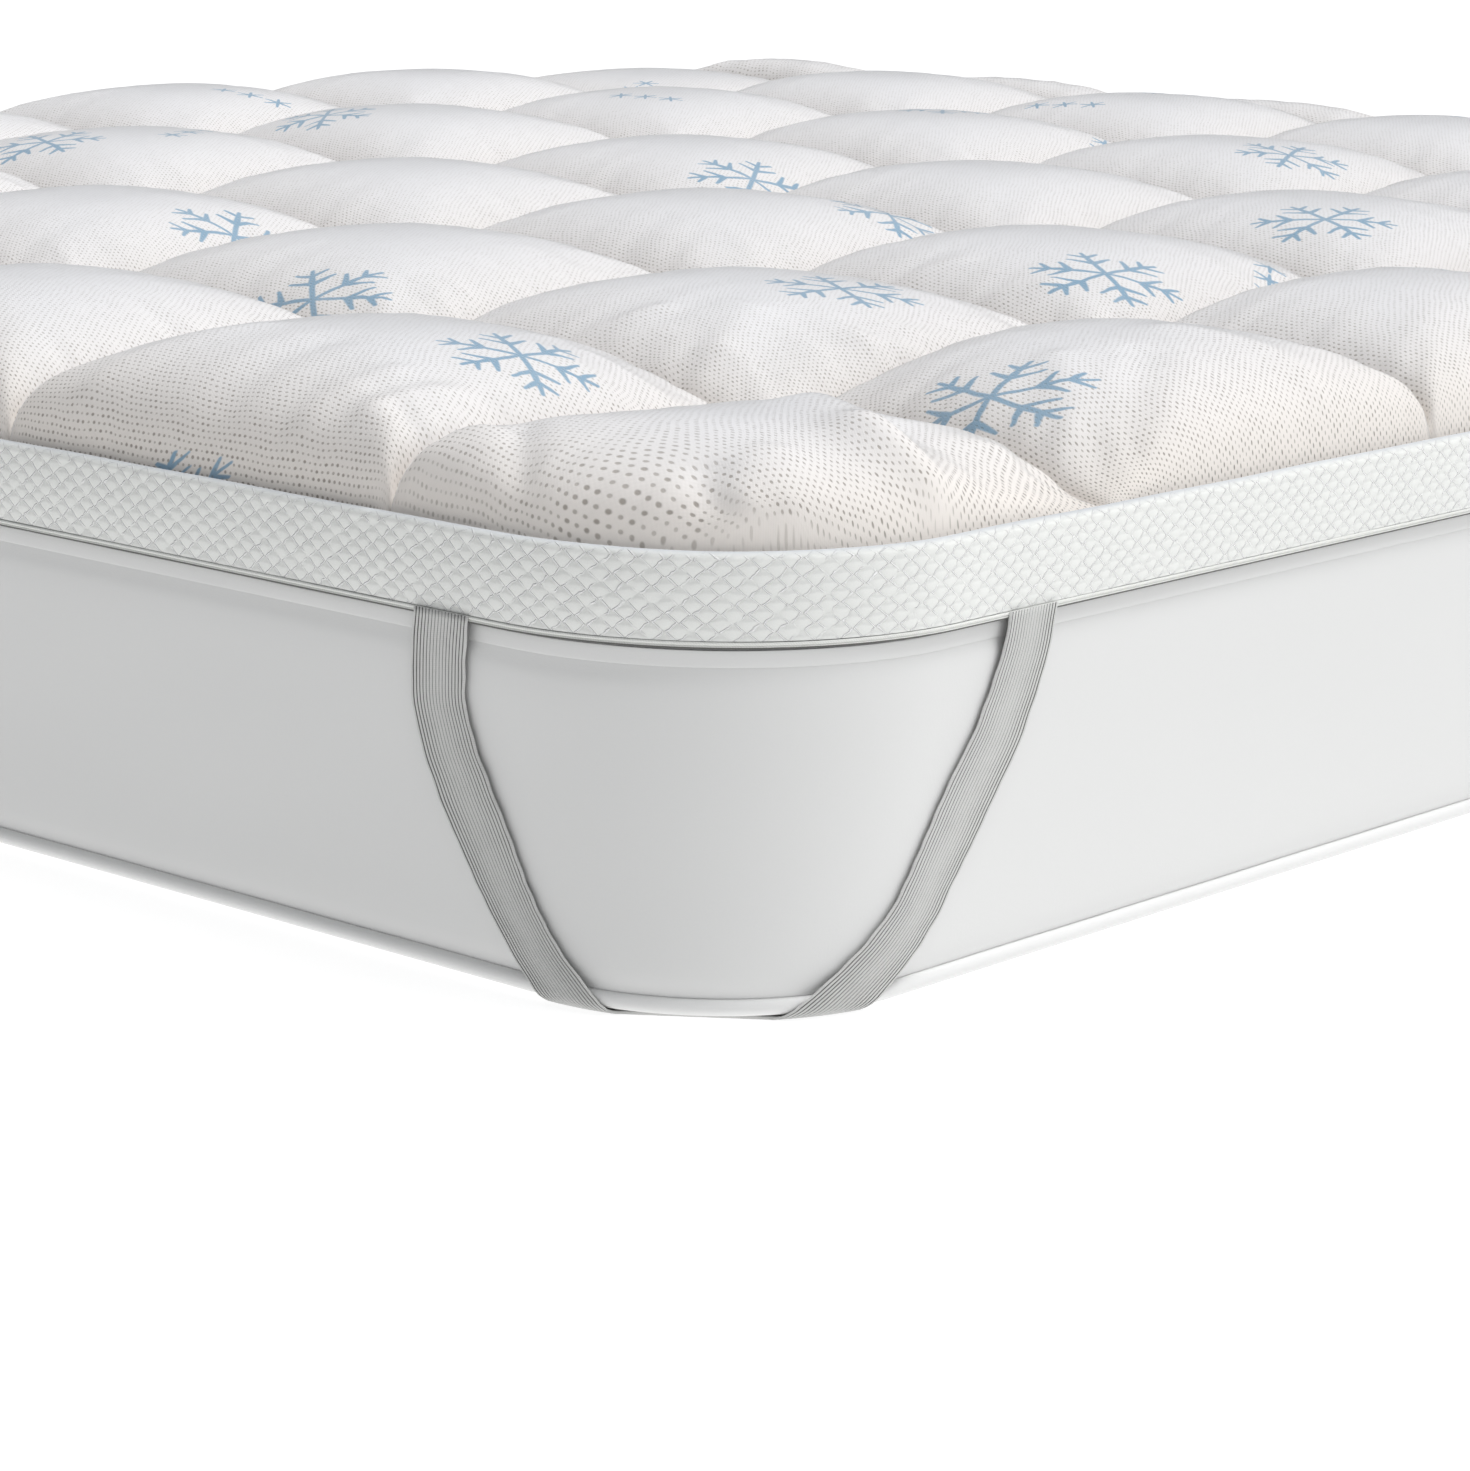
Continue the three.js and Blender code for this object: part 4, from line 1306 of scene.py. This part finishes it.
def stitch_line(path, pitch, thickness):
    """Small stitches laid end to end along a path of points."""
    running = run_along(path)
    count = int(running[-1] / pitch)
    starts = np.arange(count) * running[-1] / count
    stops = starts + running[-1] / count * STITCH_SHARE
    start = np.column_stack([np.interp(starts, running, path[:, axis]) for axis in range(3)])
    stop = np.column_stack([np.interp(stops, running, path[:, axis]) for axis in range(3)])
    length = np.linalg.norm(stop - start, axis=1, keepdims=True)
    along = (stop - start) / length
    side = np.cross(along, (0.0, 0.0, 1.0))
    side /= np.linalg.norm(side, axis=1, keepdims=True)
    up = np.cross(side, along)
    angles = np.arange(STITCH_SIDES) * 2 * math.pi / STITCH_SIDES
    cosines = np.cos(angles)[None, :, None]
    sines = np.sin(angles)[None, :, None]
    rings = []
    for share, girth, lift in STITCH_RINGS:
        ring = (start + along * length * share + up * thickness * lift)[:, None, :]
        if girth:
            ring = ring + side[:, None, :] * cosines * thickness / 2 * girth * STITCH_WIDENING
            ring = ring + up[:, None, :] * sines * thickness / 2 * girth
        rings.append(ring)
    return np.concatenate(rings, axis=1)


def stitch_faces(count):
    """Faces of one stitch after another: a point, two rings and a point."""
    size = 2 * STITCH_SIDES + 2
    first = 1 + np.arange(STITCH_SIDES)
    following = np.roll(first, -1)
    far_first = first + STITCH_SIDES
    far_following = following + STITCH_SIDES
    sides = np.stack([first, following, far_following, far_first], axis=1)
    start = np.stack([np.zeros(STITCH_SIDES, int), following, first], axis=1)
    end = np.stack([far_first, far_following, np.full(STITCH_SIDES, size - 1)], axis=1)
    faces = []
    for stitch in range(count):
        shift = stitch * size
        faces += list(sides + shift) + list(start + shift) + list(end + shift)
    return faces


def build_thread(quilt, sizes, colours):
    """The quilting thread along every channel."""
    paths = [quilt.points[1:-1, column] for column in quilt.first_x[1:-1]]
    paths += [quilt.points[row, 1:-1] for row in quilt.first_y[1:-1]]
    stitches = np.concatenate([stitch_line(path, sizes.stitch, sizes.thread) for path in paths])
    points = stitches.reshape(-1, 3)
    faces = stitch_faces(len(stitches))
    piece = mesh_piece("quilting_thread", points, faces, {}, thread_finish(colours))
    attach(piece, "root")


# ---- Border -----------------------------------------------------------------------------------

# The band rises from its foot, swelling slightly, and rolls inwards over its rim.
BAND_FOOT = TOPPER_BASE + 0.0041
RIM_RADIUS = 0.005
RIM_MIDDLE = TOPPER_BASE + 0.044
RIM_TUCK = 0.003
BAND_STEPS = 12
RIM_STEPS = 14
BAND_INSET = 0.0004
BAND_SWELL = 0.0006
RIM_INSET = 0.0002
BAND_UNEVENNESS = 0.0007
ROLL_UNEVENNESS = 0.0003

# The tape is two fine rolls, one over the other.
TAPE_ROLL = 0.0009
TAPE_STEPS = 6
TAPE_TURN = 80
TAPE_MIDDLE_INSET = 0.0005
TAPE_DEPTH = 0.0010
TAPE_INSET = 0.0030
TAPE_LOW = TOPPER_BASE + 0.0004
TAPE_HIGH = TOPPER_BASE + 0.0038
TAPE_MIDDLES = (TOPPER_BASE + 0.0010, TOPPER_BASE + 0.0010 + 0.0019)


def band_section():
    """The band from its foot up and over the rolled rim."""
    section = []
    height = RIM_MIDDLE - BAND_FOOT
    for step in range(BAND_STEPS + 1):
        share = step / BAND_STEPS
        swell = BAND_SWELL * math.sin(math.pi * share)
        section.append((BAND_INSET - swell, BAND_FOOT + height * share))
    for step in range(1, RIM_STEPS + 1):
        angle = math.pi * step / RIM_STEPS
        inset = RIM_RADIUS - (RIM_RADIUS - RIM_INSET) * math.cos(angle)
        section.append((inset, RIM_MIDDLE + RIM_RADIUS * math.sin(angle)))
    section.append((2 * RIM_RADIUS, RIM_MIDDLE - RIM_TUCK))
    return section


def tape_section():
    """Two fine rolls, one over the other."""
    section = [(TAPE_INSET, TAPE_LOW)]
    for middle in TAPE_MIDDLES:
        for step in range(TAPE_STEPS + 1):
            angle = math.radians(2 * TAPE_TURN * step / TAPE_STEPS - TAPE_TURN)
            inset = TAPE_MIDDLE_INSET - TAPE_DEPTH * math.cos(angle)
            section.append((inset, middle + TAPE_ROLL * math.sin(angle)))
    section.append((TAPE_INSET, TAPE_HIGH))
    return section


def build_border(sizes, colours):
    """The mesh band with its rolled rim, and the tape at its foot."""
    band = swept_round(
        "border_mesh_band", TOPPER_CORNER, band_section(), "band", band_finish(sizes, colours),
        unevenness=BAND_UNEVENNESS, seed=SEED + 5,
    )
    tape = swept_round(
        "edge_tape_rolls", TOPPER_CORNER, tape_section(), "band", tape_finish(colours),
        unevenness=ROLL_UNEVENNESS, seed=SEED + 9,
    )
    settle(band, "border_mesh", "border_band")
    settle(tape, "edge_tape", "edge_tape")


# ---- Mattress ---------------------------------------------------------------------------------

# The heights of both rolls' middles, and the corners' radius at the top and at the bottom.
PIPING_RADIUS = 0.0044
LOWER_PIPING = 0.0070
UPPER_PIPING = 0.1847
TOP_CORNER = 0.160
BOTTOM_CORNER = 0.132

# Share of the corner's radius that a ring is drawn in by before it shrinks as a whole.
CORNER_LIMIT = 0.97

# The side between the rolls: how far in it lies at its ends and how far it bulges out again.
WALL_INSET = 0.0047
SIDE_BULGE = 0.0032
WALL_LOW = LOWER_PIPING + PIPING_RADIUS
WALL_HIGH = UPPER_PIPING - PIPING_RADIUS
WALL_STEPS = 26
PIPING_STEPS = 14

# Insets of the underside's rings, and inset and height of those round its edge and the top's.
UNDERSIDE_INSETS = [0.5, 0.2] + [0.080 - 0.003 * step for step in range(24)]
LOWER_EDGE = ((0.0075, 0.0006), (0.0056, 0.0020), (WALL_INSET, 0.0040))
UPPER_EDGE = (
    (WALL_INSET, MATTRESS_TOP - 0.0016),
    (WALL_INSET + 0.0018, MATTRESS_TOP - 0.0002),
    (WALL_INSET + 0.004, MATTRESS_TOP),
    (0.2, MATTRESS_TOP),
    (0.5, MATTRESS_TOP),
)

# The straps' recesses under the mattress: half their width, their slope's width, their depth and
# how far they run on past the straps' ends, as a share of the length.
RECESS_HALF = 0.0245
RECESS_SLOPE = 0.0030
RECESS_DEPTH = 0.0019
RECESS_OVERRUN = 0.15

# The side's very slight waves, as a share of the distance from the bed's middle.
SIDE_WAVE = 0.00018


def wall_share(height):
    """0 at the foot of the mattress side, 1 at its top."""
    return np.clip((height - WALL_LOW) / (WALL_HIGH - WALL_LOW), 0.0, 1.0)


def mattress_corner(height):
    """The corner's radius at a height: rounder at the top than at the bottom."""
    return BOTTOM_CORNER + (TOP_CORNER - BOTTOM_CORNER) * wall_share(height)


def ring_at(inset, height):
    """A ring of points round the mattress, drawn in from its outline."""
    radius = mattress_corner(height)
    points, outward, _ = outline(radius)
    reach = min(inset, radius * CORNER_LIMIT)
    ring = points - outward * reach
    if inset > reach:
        ring = ring * (1.0 - (inset - reach) / HALF_WIDTH)
    return np.column_stack([ring, np.full(len(ring), height)])


def mattress_rings():
    """Rings of the mattress body, from the middle of its underside up to its top."""
    places = [(inset, 0.0) for inset in UNDERSIDE_INSETS] + list(LOWER_EDGE)
    for step in range(WALL_STEPS + 1):
        share = step / WALL_STEPS
        fullness = math.sqrt(max(1.0 - (2 * share - 1) ** 8, 0.0))
        height = WALL_LOW + (WALL_HIGH - WALL_LOW) * share
        places.append((WALL_INSET - SIDE_BULGE * fullness, height))
    return np.array([ring_at(*place) for place in places + list(UPPER_EDGE)])


def sink_recesses(rings):
    """Makes room for the straps under the mattress."""
    under = rings[:, :, 2] < MM
    for corner in CORNERS:
        start, end = underside_run(corner)
        step = end - start
        length = np.linalg.norm(step)
        away = rings[:, :, :2] - start
        share = (away @ (step / length)) / length
        share = np.clip(share, -RECESS_OVERRUN, 1.0 + RECESS_OVERRUN)
        off = np.linalg.norm(away - share[..., None] * step, axis=2)
        room = np.clip((RECESS_HALF - off) / RECESS_SLOPE, 0.0, 1.0) * RECESS_DEPTH
        rings[:, :, 2] = np.where(under, np.maximum(rings[:, :, 2], room), rings[:, :, 2])
    return rings


def side_softness(rings):
    """Very slight unevenness of the mattress side."""
    height = rings[:, :, 2]
    swing = np.sin(math.pi * wall_share(height)) ** 2
    turn = np.arctan2(rings[:, :, 1], rings[:, :, 0])
    wave = np.sin(turn * 19 + height * 30) + np.sin(turn * 31 - height * 44 + 2.0)
    rings[:, :, :2] *= (1.0 + wave * swing * SIDE_WAVE)[:, :, None]
    return rings


def build_mattress(colours):
    """The plain mattress, with the roll round its lower edge and the one round its upper edge."""
    rings = side_softness(sink_recesses(mattress_rings()))
    count, length = rings.shape[:2]
    index = closed(grid_index(count, length))
    faces = list(grid_faces(index))
    bottom = count * length
    for step in range(length):
        faces.append(np.array([bottom, index[0, step + 1], index[0, step]]))
        faces.append(np.array([index[-1, step], index[-1, step + 1], bottom + 1]))
    points = np.vstack([rings.reshape(-1, 3), [(0.0, 0.0, 0.0), (0.0, 0.0, MATTRESS_TOP)]])
    cover = cover_finish("mattress_cover", colours.mattress)
    body = mesh_piece("mattress_block", points, faces, {}, cover)
    settle(body, "mattress_cover", "mattress_body")

    roll = cover_finish("mattress_piping", colours.piping)
    for name, height, node, girth, look in (
        ("lower_piping_roll", LOWER_PIPING, "mattress_lower_piping", 1.0, roll),
        ("upper_piping_roll", UPPER_PIPING, "mattress_upper_piping", 0.08, cover),
    ):
        section = []
        for step in range(PIPING_STEPS + 1):
            angle = math.radians(-90 + 180 * step / PIPING_STEPS)
            inset = PIPING_RADIUS * (1 - girth * math.cos(angle))
            section.append((inset, height + PIPING_RADIUS * math.sin(angle)))
        section.append((PIPING_RADIUS, height - PIPING_RADIUS))
        piece = swept_round(
            name, mattress_corner(height), section, "piping", look,
            unevenness=ROLL_UNEVENNESS, seed=SEED + 21,
        )
        settle(piece, "mattress_piping", node)


# ---- Straps -----------------------------------------------------------------------------------

CORNERS = (
    ("strap_foot_right", 1, -1),
    ("strap_foot_left", -1, -1),
    ("strap_head_right", 1, 1),
    ("strap_head_left", -1, 1),
)

# How thick a strap is, how far it stands off the mattress's outline at its top and at its foot,
# and the length of one step along it.
STRAP_THICKNESS = 0.0015
LIFT_AT_TAPE = 0.0008
LIFT_AT_PIPING = 0.0011
STRAP_STEP = 0.004

# Low down the strap is drawn narrower, from its edge towards the corner: between which heights,
# how much of its width goes and how far its middle moves.
NARROWING_HEIGHTS = (0.110, 0.020)
NARROWING = 0.25
NARROWING_SHIFT = 0.0049

# The strap's ribs and its slightly wavy edges: points to a rib, depth of a groove, thickness at
# the edges, and size and length of an edge's waves.
RIB_POINTS = 4
RIB_DEPTH = 0.00045
EDGE_THICKNESS = 0.0004
SCALLOP = 0.00035
SCALLOP_LENGTH = 0.0052

# Steps along a strap: round the piping and under the mattress.
BEND_STEPS = 6
UNDER_STEPS = 14

# The strap's path is worked out at many fine points, each smoothed over some to either side. A
# point lower than the last height lies under the mattress.
CURVE_POINTS = 400
SMOOTHING = 20
UNDER_HEIGHT = 0.0025

# Where the strap's middle runs: height, and distance from the rounded corner's middle along
# the side, for its end on the short side of the bed and its end on the long side.
SHORT_SIDE = (
    (0.194, 0.1700), (0.170, 0.1725), (0.146, 0.1735), (0.121, 0.1655), (0.097, 0.1530),
    (0.078, 0.1405), (0.059, 0.1275), (0.043, 0.1150), (0.027, 0.1010), (0.013, 0.0870),
)
LONG_SIDE = (
    (0.194, 0.1950), (0.173, 0.1905), (0.153, 0.1820), (0.129, 0.1693), (0.105, 0.1510),
    (0.084, 0.1350), (0.064, 0.1185), (0.048, 0.1045), (0.033, 0.0870), (0.016, 0.0640),
)


def smooth_table(table, step):
    """Heights and distances along a smooth curve through a table, evenly spaced."""
    height, distance = np.array(table).T
    slope = (distance[-2] - distance[-1]) / (height[-2] - height[-1])
    lowest = distance[-1] - slope * (height[-1] - LOWER_PIPING)
    height = np.append(height, LOWER_PIPING)
    distance = np.append(distance, lowest)
    fine = np.linspace(0, len(height) - 1, CURVE_POINTS)
    weights = np.hanning(2 * SMOOTHING + 1)
    smooth = []
    for values in (height, distance):
        curve = np.interp(fine, np.arange(len(values)), values)
        start = 2 * curve[0] - curve[SMOOTHING:0:-1]
        end = 2 * curve[-1] - curve[-2 : -SMOOTHING - 2 : -1]
        padded = np.concatenate([start, curve, end])
        smooth.append(np.convolve(padded, weights / weights.sum(), "valid"))
    running = np.concatenate([[0], np.cumsum(np.hypot(np.diff(smooth[0]), np.diff(smooth[1])))])
    places = np.linspace(0, running[-1], max(2, round(running[-1] / step)) + 1)
    return np.interp(places, running, smooth[0]), np.interp(places, running, smooth[1])


def side_point(distance, height, stand_off, radius):
    """A point on the mattress side.

    distance runs round it from the corner's middle, and is positive on the long side of the bed.
    """
    half_arc = radius * math.pi / 4
    along = np.abs(distance)
    turn = np.minimum(along, half_arc) / radius
    straight = np.maximum(0.0, along - half_arc)
    angle = math.pi / 4 - turn
    reach = radius + stand_off
    towards = -radius + reach * np.cos(angle)
    away = -radius + reach * np.sin(angle) - straight
    on_long_side = distance > 0
    x = np.where(on_long_side, towards, away)
    y = np.where(on_long_side, away, towards)
    return np.stack([HALF_WIDTH + x, HALF_LENGTH + y, np.full_like(x, height)], axis=-1)


def strap_offset(across, drawn):
    """Distance of a strap's points from its path, as it is drawn narrower."""
    drawn = drawn * drawn * (3 - 2 * drawn)
    return NARROWING_SHIFT * drawn - across * (1.0 - NARROWING * drawn)


def strap_end(table, side, across, lift):
    """Rows of points down one end of a strap and round the lower piping."""
    heights, distances = smooth_table(table, STRAP_STEP)
    slopes = np.gradient(distances, heights)
    top_lift = LIFT_AT_TAPE + lift
    bottom_lift = LIFT_AT_PIPING + lift
    rows = []
    for height, distance, slope in zip(heights, distances, slopes):
        share = min(max((height - LOWER_PIPING) / (TOPPER_BASE - LOWER_PIPING), 0.0), 1.0)
        stand_off = bottom_lift + (top_lift - bottom_lift) * share
        slant = math.hypot(1.0, slope)
        drawn = np.interp(-height, [-level for level in NARROWING_HEIGHTS], [0.0, 1.0])
        middle = side * (distance + strap_offset(across, drawn) * slant)
        rows.append(side_point(middle, height, stand_off, mattress_corner(height)))
    bend = PIPING_RADIUS + bottom_lift
    slant = math.hypot(1.0, slopes[-1])
    for step in range(1, BEND_STEPS + 1):
        angle = math.pi / 2 * step / BEND_STEPS
        distance = distances[-1] - slopes[-1] * bend * angle
        middle = side * (distance + strap_offset(across, 1.0) * slant)
        stand_off = bend * math.cos(angle) - PIPING_RADIUS
        height = LOWER_PIPING - bend * math.sin(angle)
        rows.append(side_point(middle, height, stand_off, BOTTOM_CORNER))
    return rows


def strap_rows(across, lift):
    """Rows of points along a whole strap, from its end on the short side of the bed."""
    short_end = strap_end(SHORT_SIDE, -1, across, lift)
    long_end = strap_end(LONG_SIDE, 1, across, lift)
    shares = [step / UNDER_STEPS for step in range(1, UNDER_STEPS)]
    under = [points_between(short_end[-1], long_end[-1], share) for share in shares]
    return np.array(short_end + under + long_end[::-1])


def underside_run(corner):
    """The ends of a strap's run under the mattress, in plan."""
    rows = strap_rows(np.array([0.0]), 0.0)
    lowest = np.nonzero(rows[:, 0, 2] < UNDER_HEIGHT)[0]
    signs = np.array(corner[1:], float)
    return rows[lowest[0], 0, :2] * signs, rows[lowest[-1], 0, :2] * signs


def strap_section(sizes):
    """Places across a strap and how thick it is there, rib by rib."""
    ribs = round(sizes.strap_width / sizes.strap_rib)
    count = ribs * RIB_POINTS
    across = np.linspace(-0.5, 0.5, count + 1) * sizes.strap_width
    rib = np.abs(np.sin(np.arange(count + 1) * math.pi / RIB_POINTS))
    thickness = STRAP_THICKNESS - RIB_DEPTH * (1.0 - rib)
    thickness[0] = thickness[-1] = EDGE_THICKNESS
    return across, thickness


def edge_waves(inner, running):
    """How a strap's points shift sideways so that its edges are slightly wavy."""
    turns = running * 2 * math.pi / SCALLOP_LENGTH + 0.7 * np.sin(running * 61)
    scallop = SCALLOP * np.sin(turns)
    spread = np.linspace(-1.0, 1.0, inner.shape[1])
    edge = np.sign(spread) * np.abs(spread) ** 9
    sideways = inner[:, -1] - inner[:, 0]
    sideways /= np.linalg.norm(sideways, axis=1, keepdims=True)
    return sideways[:, None, :] * (scallop[:, None] * edge[None, :])[:, :, None]


def build_strap(corner, sizes, material):
    """One elastic strap: down a side of the bed, under the corner and up the other side."""
    name, side_x, side_y = corner
    across, thickness = strap_section(sizes)
    inner = strap_rows(across, 0.0)
    outer = strap_rows(across, STRAP_THICKNESS)
    share = (thickness / STRAP_THICKNESS)[None, :, None]
    running = run_along(inner[:, len(across) // 2])
    shift = edge_waves(inner, running)
    outer = points_between(inner, outer, share) + shift
    inner = inner + shift
    outer[:, :, 2] = np.maximum(outer[:, :, 2], 0.0)
    loop = np.concatenate([outer, inner[:, ::-1]], axis=1) * (side_x, side_y, 1.0)
    ring_place = np.concatenate([across, across[::-1]]) + sizes.strap_width / 2
    if side_x * side_y > 0:
        loop = loop[:, ::-1]
        ring_place = ring_place[::-1]
    count, length = loop.shape[:2]
    faces = list(grid_faces(closed(grid_index(count, length)))[:, ::-1])
    cloth = np.stack(np.meshgrid(np.append(ring_place, ring_place[0]), running), axis=2)
    corners = turned_over(cell_corners(cloth))
    caps = []
    for ring in (np.arange(length), (count - 1) * length + np.arange(length)[::-1]):
        for step in range(length // 2 - 1):
            far = length - 2 - step
            caps.append(ring[[step, step + 1, far, far + 1]])
    at_edge = np.full((4 * len(caps), 2), MM)
    layers = {"strap": np.concatenate([corners, at_edge])}
    piece = mesh_piece(name + "_elastic", loop.reshape(-1, 3), faces + caps, layers, material)
    settle(piece, "elastic", name)


# ---- Stage ------------------------------------------------------------------------------------

# Where the camera stands, the way it looks, in degrees, and its lens and sensor in millimetres.
CAMERA_PLACE = (2.2601, -2.5466, 0.6446)
CAMERA_AZIMUTH = 41.39
CAMERA_PITCH = 13.18
CAMERA_ROLL = 0.99
CAMERA_LENS = 106.75
SENSOR = 36.0

# The floor glows a little so that it stays pale, and the sky lights the rest evenly.
FLOOR_REACH = 16.0
FLOOR_GLOW = 0.86
SKY = (0.95, 0.975, 1.0, 1.0)
SKY_STRENGTH = 0.32

# Soft suns: name, the way towards each, its strength and its spread in degrees.
SUNS = (
    ("key_light", (0.20, 0.30, 0.72), 2.35, 38.0),
    ("side_light", (0.94, 0.25, 0.15), 0.45, 50.0),
)


def build_camera():
    """A camera that looks down a little at the near corner."""
    azimuth = math.radians(CAMERA_AZIMUTH)
    pitch = math.radians(CAMERA_PITCH)
    roll = math.radians(CAMERA_ROLL)
    right = Vector((math.cos(azimuth), math.sin(azimuth), 0.0))
    level = Vector((-math.sin(azimuth), math.cos(azimuth), 0.0))
    up = Vector((0.0, 0.0, 1.0))
    forward = level * math.cos(pitch) - up * math.sin(pitch)
    raised = level * math.sin(pitch) + up * math.cos(pitch)
    image_right = right * math.cos(roll) + raised * math.sin(roll)
    image_up = raised * math.cos(roll) - right * math.sin(roll)
    data = bpy.data.cameras.new("camera")
    data.lens = CAMERA_LENS
    data.sensor_width = SENSOR
    data.clip_end = 100.0
    camera = bpy.data.objects.new("camera", data)
    bpy.context.scene.collection.objects.link(camera)
    turn = Matrix((image_right, image_up, -forward)).transposed()
    camera.matrix_world = Matrix.Translation(CAMERA_PLACE) @ turn.to_4x4()
    bpy.context.scene.camera = camera


def build_sun(name, towards, strength, spread):
    """A soft light from far off."""
    data = bpy.data.lights.new(name, "SUN")
    data.energy = strength
    data.angle = math.radians(spread)
    light = bpy.data.objects.new(name, data)
    light.rotation_mode = "QUATERNION"
    light.rotation_quaternion = Vector(towards).to_track_quat("Z", "Y")
    bpy.context.scene.collection.objects.link(light)


def build_stage(colours):
    """A plain pale floor, soft light and the camera."""
    size = FLOOR_REACH
    points = [(-size, -size, 0), (size, -size, 0), (size, size, 0), (-size, size, 0)]
    finish = Finish("studio_floor")
    speckle = finish.noise(finish.body_place(), 40.0)
    base = finish.mixed(speckle * 0.1, colours.floor, FLOOR_DULL)
    finish.give(base_color=base, roughness=0.9)
    finish.give(emission_color=WHITE, emission_strength=FLOOR_GLOW)
    floor = mesh_piece("studio_floor", points, [np.array([0, 1, 2, 3])], {}, finish.material)
    world = bpy.data.worlds.new("studio")
    world.use_nodes = True
    background = world.node_tree.nodes["Background"]
    background.inputs[0].default_value = SKY
    background.inputs[1].default_value = SKY_STRENGTH
    bpy.context.scene.world = world
    bpy.context.scene.view_settings.view_transform = "Standard"
    for sun in SUNS:
        build_sun(*sun)
    build_camera()


# ---- Operators --------------------------------------------------------------------------------


class TopperOperator:
    """What the operators share: the scene's sizes and colours."""

    bl_options = {"REGISTER", "UNDO"}

    def settings(self, context):
        """The scene's sizes and its colours."""
        return context.scene.topper_sizes, context.scene.topper_colours


class TOPPER_OT_quilt(TopperOperator, bpy.types.Operator):
    """Build the quilted pad and the thread along its channels"""

    bl_idname = "topper.quilt"
    bl_label = "Quilted Pad"

    def execute(self, context):
        sizes, colours = self.settings(context)
        quilt = build_quilt(sizes, colours)
        build_thread(quilt, sizes, colours)
        return {"FINISHED"}


class TOPPER_OT_border(TopperOperator, bpy.types.Operator):
    """Build the mesh border with its rolled rim, and the tape at its foot"""

    bl_idname = "topper.border"
    bl_label = "Border and Tape"

    def execute(self, context):
        build_border(*self.settings(context))
        return {"FINISHED"}


class TOPPER_OT_mattress(TopperOperator, bpy.types.Operator):
    """Build the mattress and the two rolls round it"""

    bl_idname = "topper.mattress"
    bl_label = "Mattress"

    def execute(self, context):
        _, colours = self.settings(context)
        build_mattress(colours)
        return {"FINISHED"}


class TOPPER_OT_straps(TopperOperator, bpy.types.Operator):
    """Build the elastic straps, one for each corner"""

    bl_idname = "topper.straps"
    bl_label = "Elastic Straps"

    def execute(self, context):
        sizes, colours = self.settings(context)
        material = strap_finish(sizes, colours)
        for corner in CORNERS:
            build_strap(corner, sizes, material)
        return {"FINISHED"}


class TOPPER_OT_stage(TopperOperator, bpy.types.Operator):
    """Build the floor, the lights and the camera"""

    bl_idname = "topper.stage"
    bl_label = "Stage"

    def execute(self, context):
        _, colours = self.settings(context)
        build_stage(colours)
        return {"FINISHED"}


OPERATORS = (
    TOPPER_OT_stage,
    TOPPER_OT_quilt,
    TOPPER_OT_border,
    TOPPER_OT_mattress,
    TOPPER_OT_straps,
)


class TOPPER_PT_panel(bpy.types.Panel):
    """Sizes, colours and build steps of the topper"""

    bl_idname = "TOPPER_PT_panel"
    bl_label = "Quilted Topper"
    bl_space_type = "VIEW_3D"
    bl_region_type = "UI"
    bl_category = "Topper"

    def draw(self, context):
        """Lists the sizes, the colours and the build steps."""
        layout = self.layout
        for group in (context.scene.topper_sizes, context.scene.topper_colours):
            column = layout.column()
            for name in group.__annotations__:
                column.prop(group, name)
        for operator in OPERATORS:
            layout.operator(operator.bl_idname)


CLASSES = (TopperSizes, TopperColours) + OPERATORS + (TOPPER_PT_panel,)


def register():
    """Registers the classes and the scene's sizes and colours."""
    for item in CLASSES:
        bpy.utils.register_class(item)
    bpy.types.Scene.topper_sizes = bpy.props.PointerProperty(type=TopperSizes)
    bpy.types.Scene.topper_colours = bpy.props.PointerProperty(type=TopperColours)


def unregister():
    """Undoes what register does."""
    del bpy.types.Scene.topper_colours
    del bpy.types.Scene.topper_sizes
    for item in reversed(CLASSES):
        bpy.utils.unregister_class(item)


def main():
    """Builds the stage and every piece."""
    register()
    for name in ("stage", "quilt", "border", "mattress", "straps"):
        getattr(bpy.ops.topper, name)()


if __name__ == "__main__":
    main()
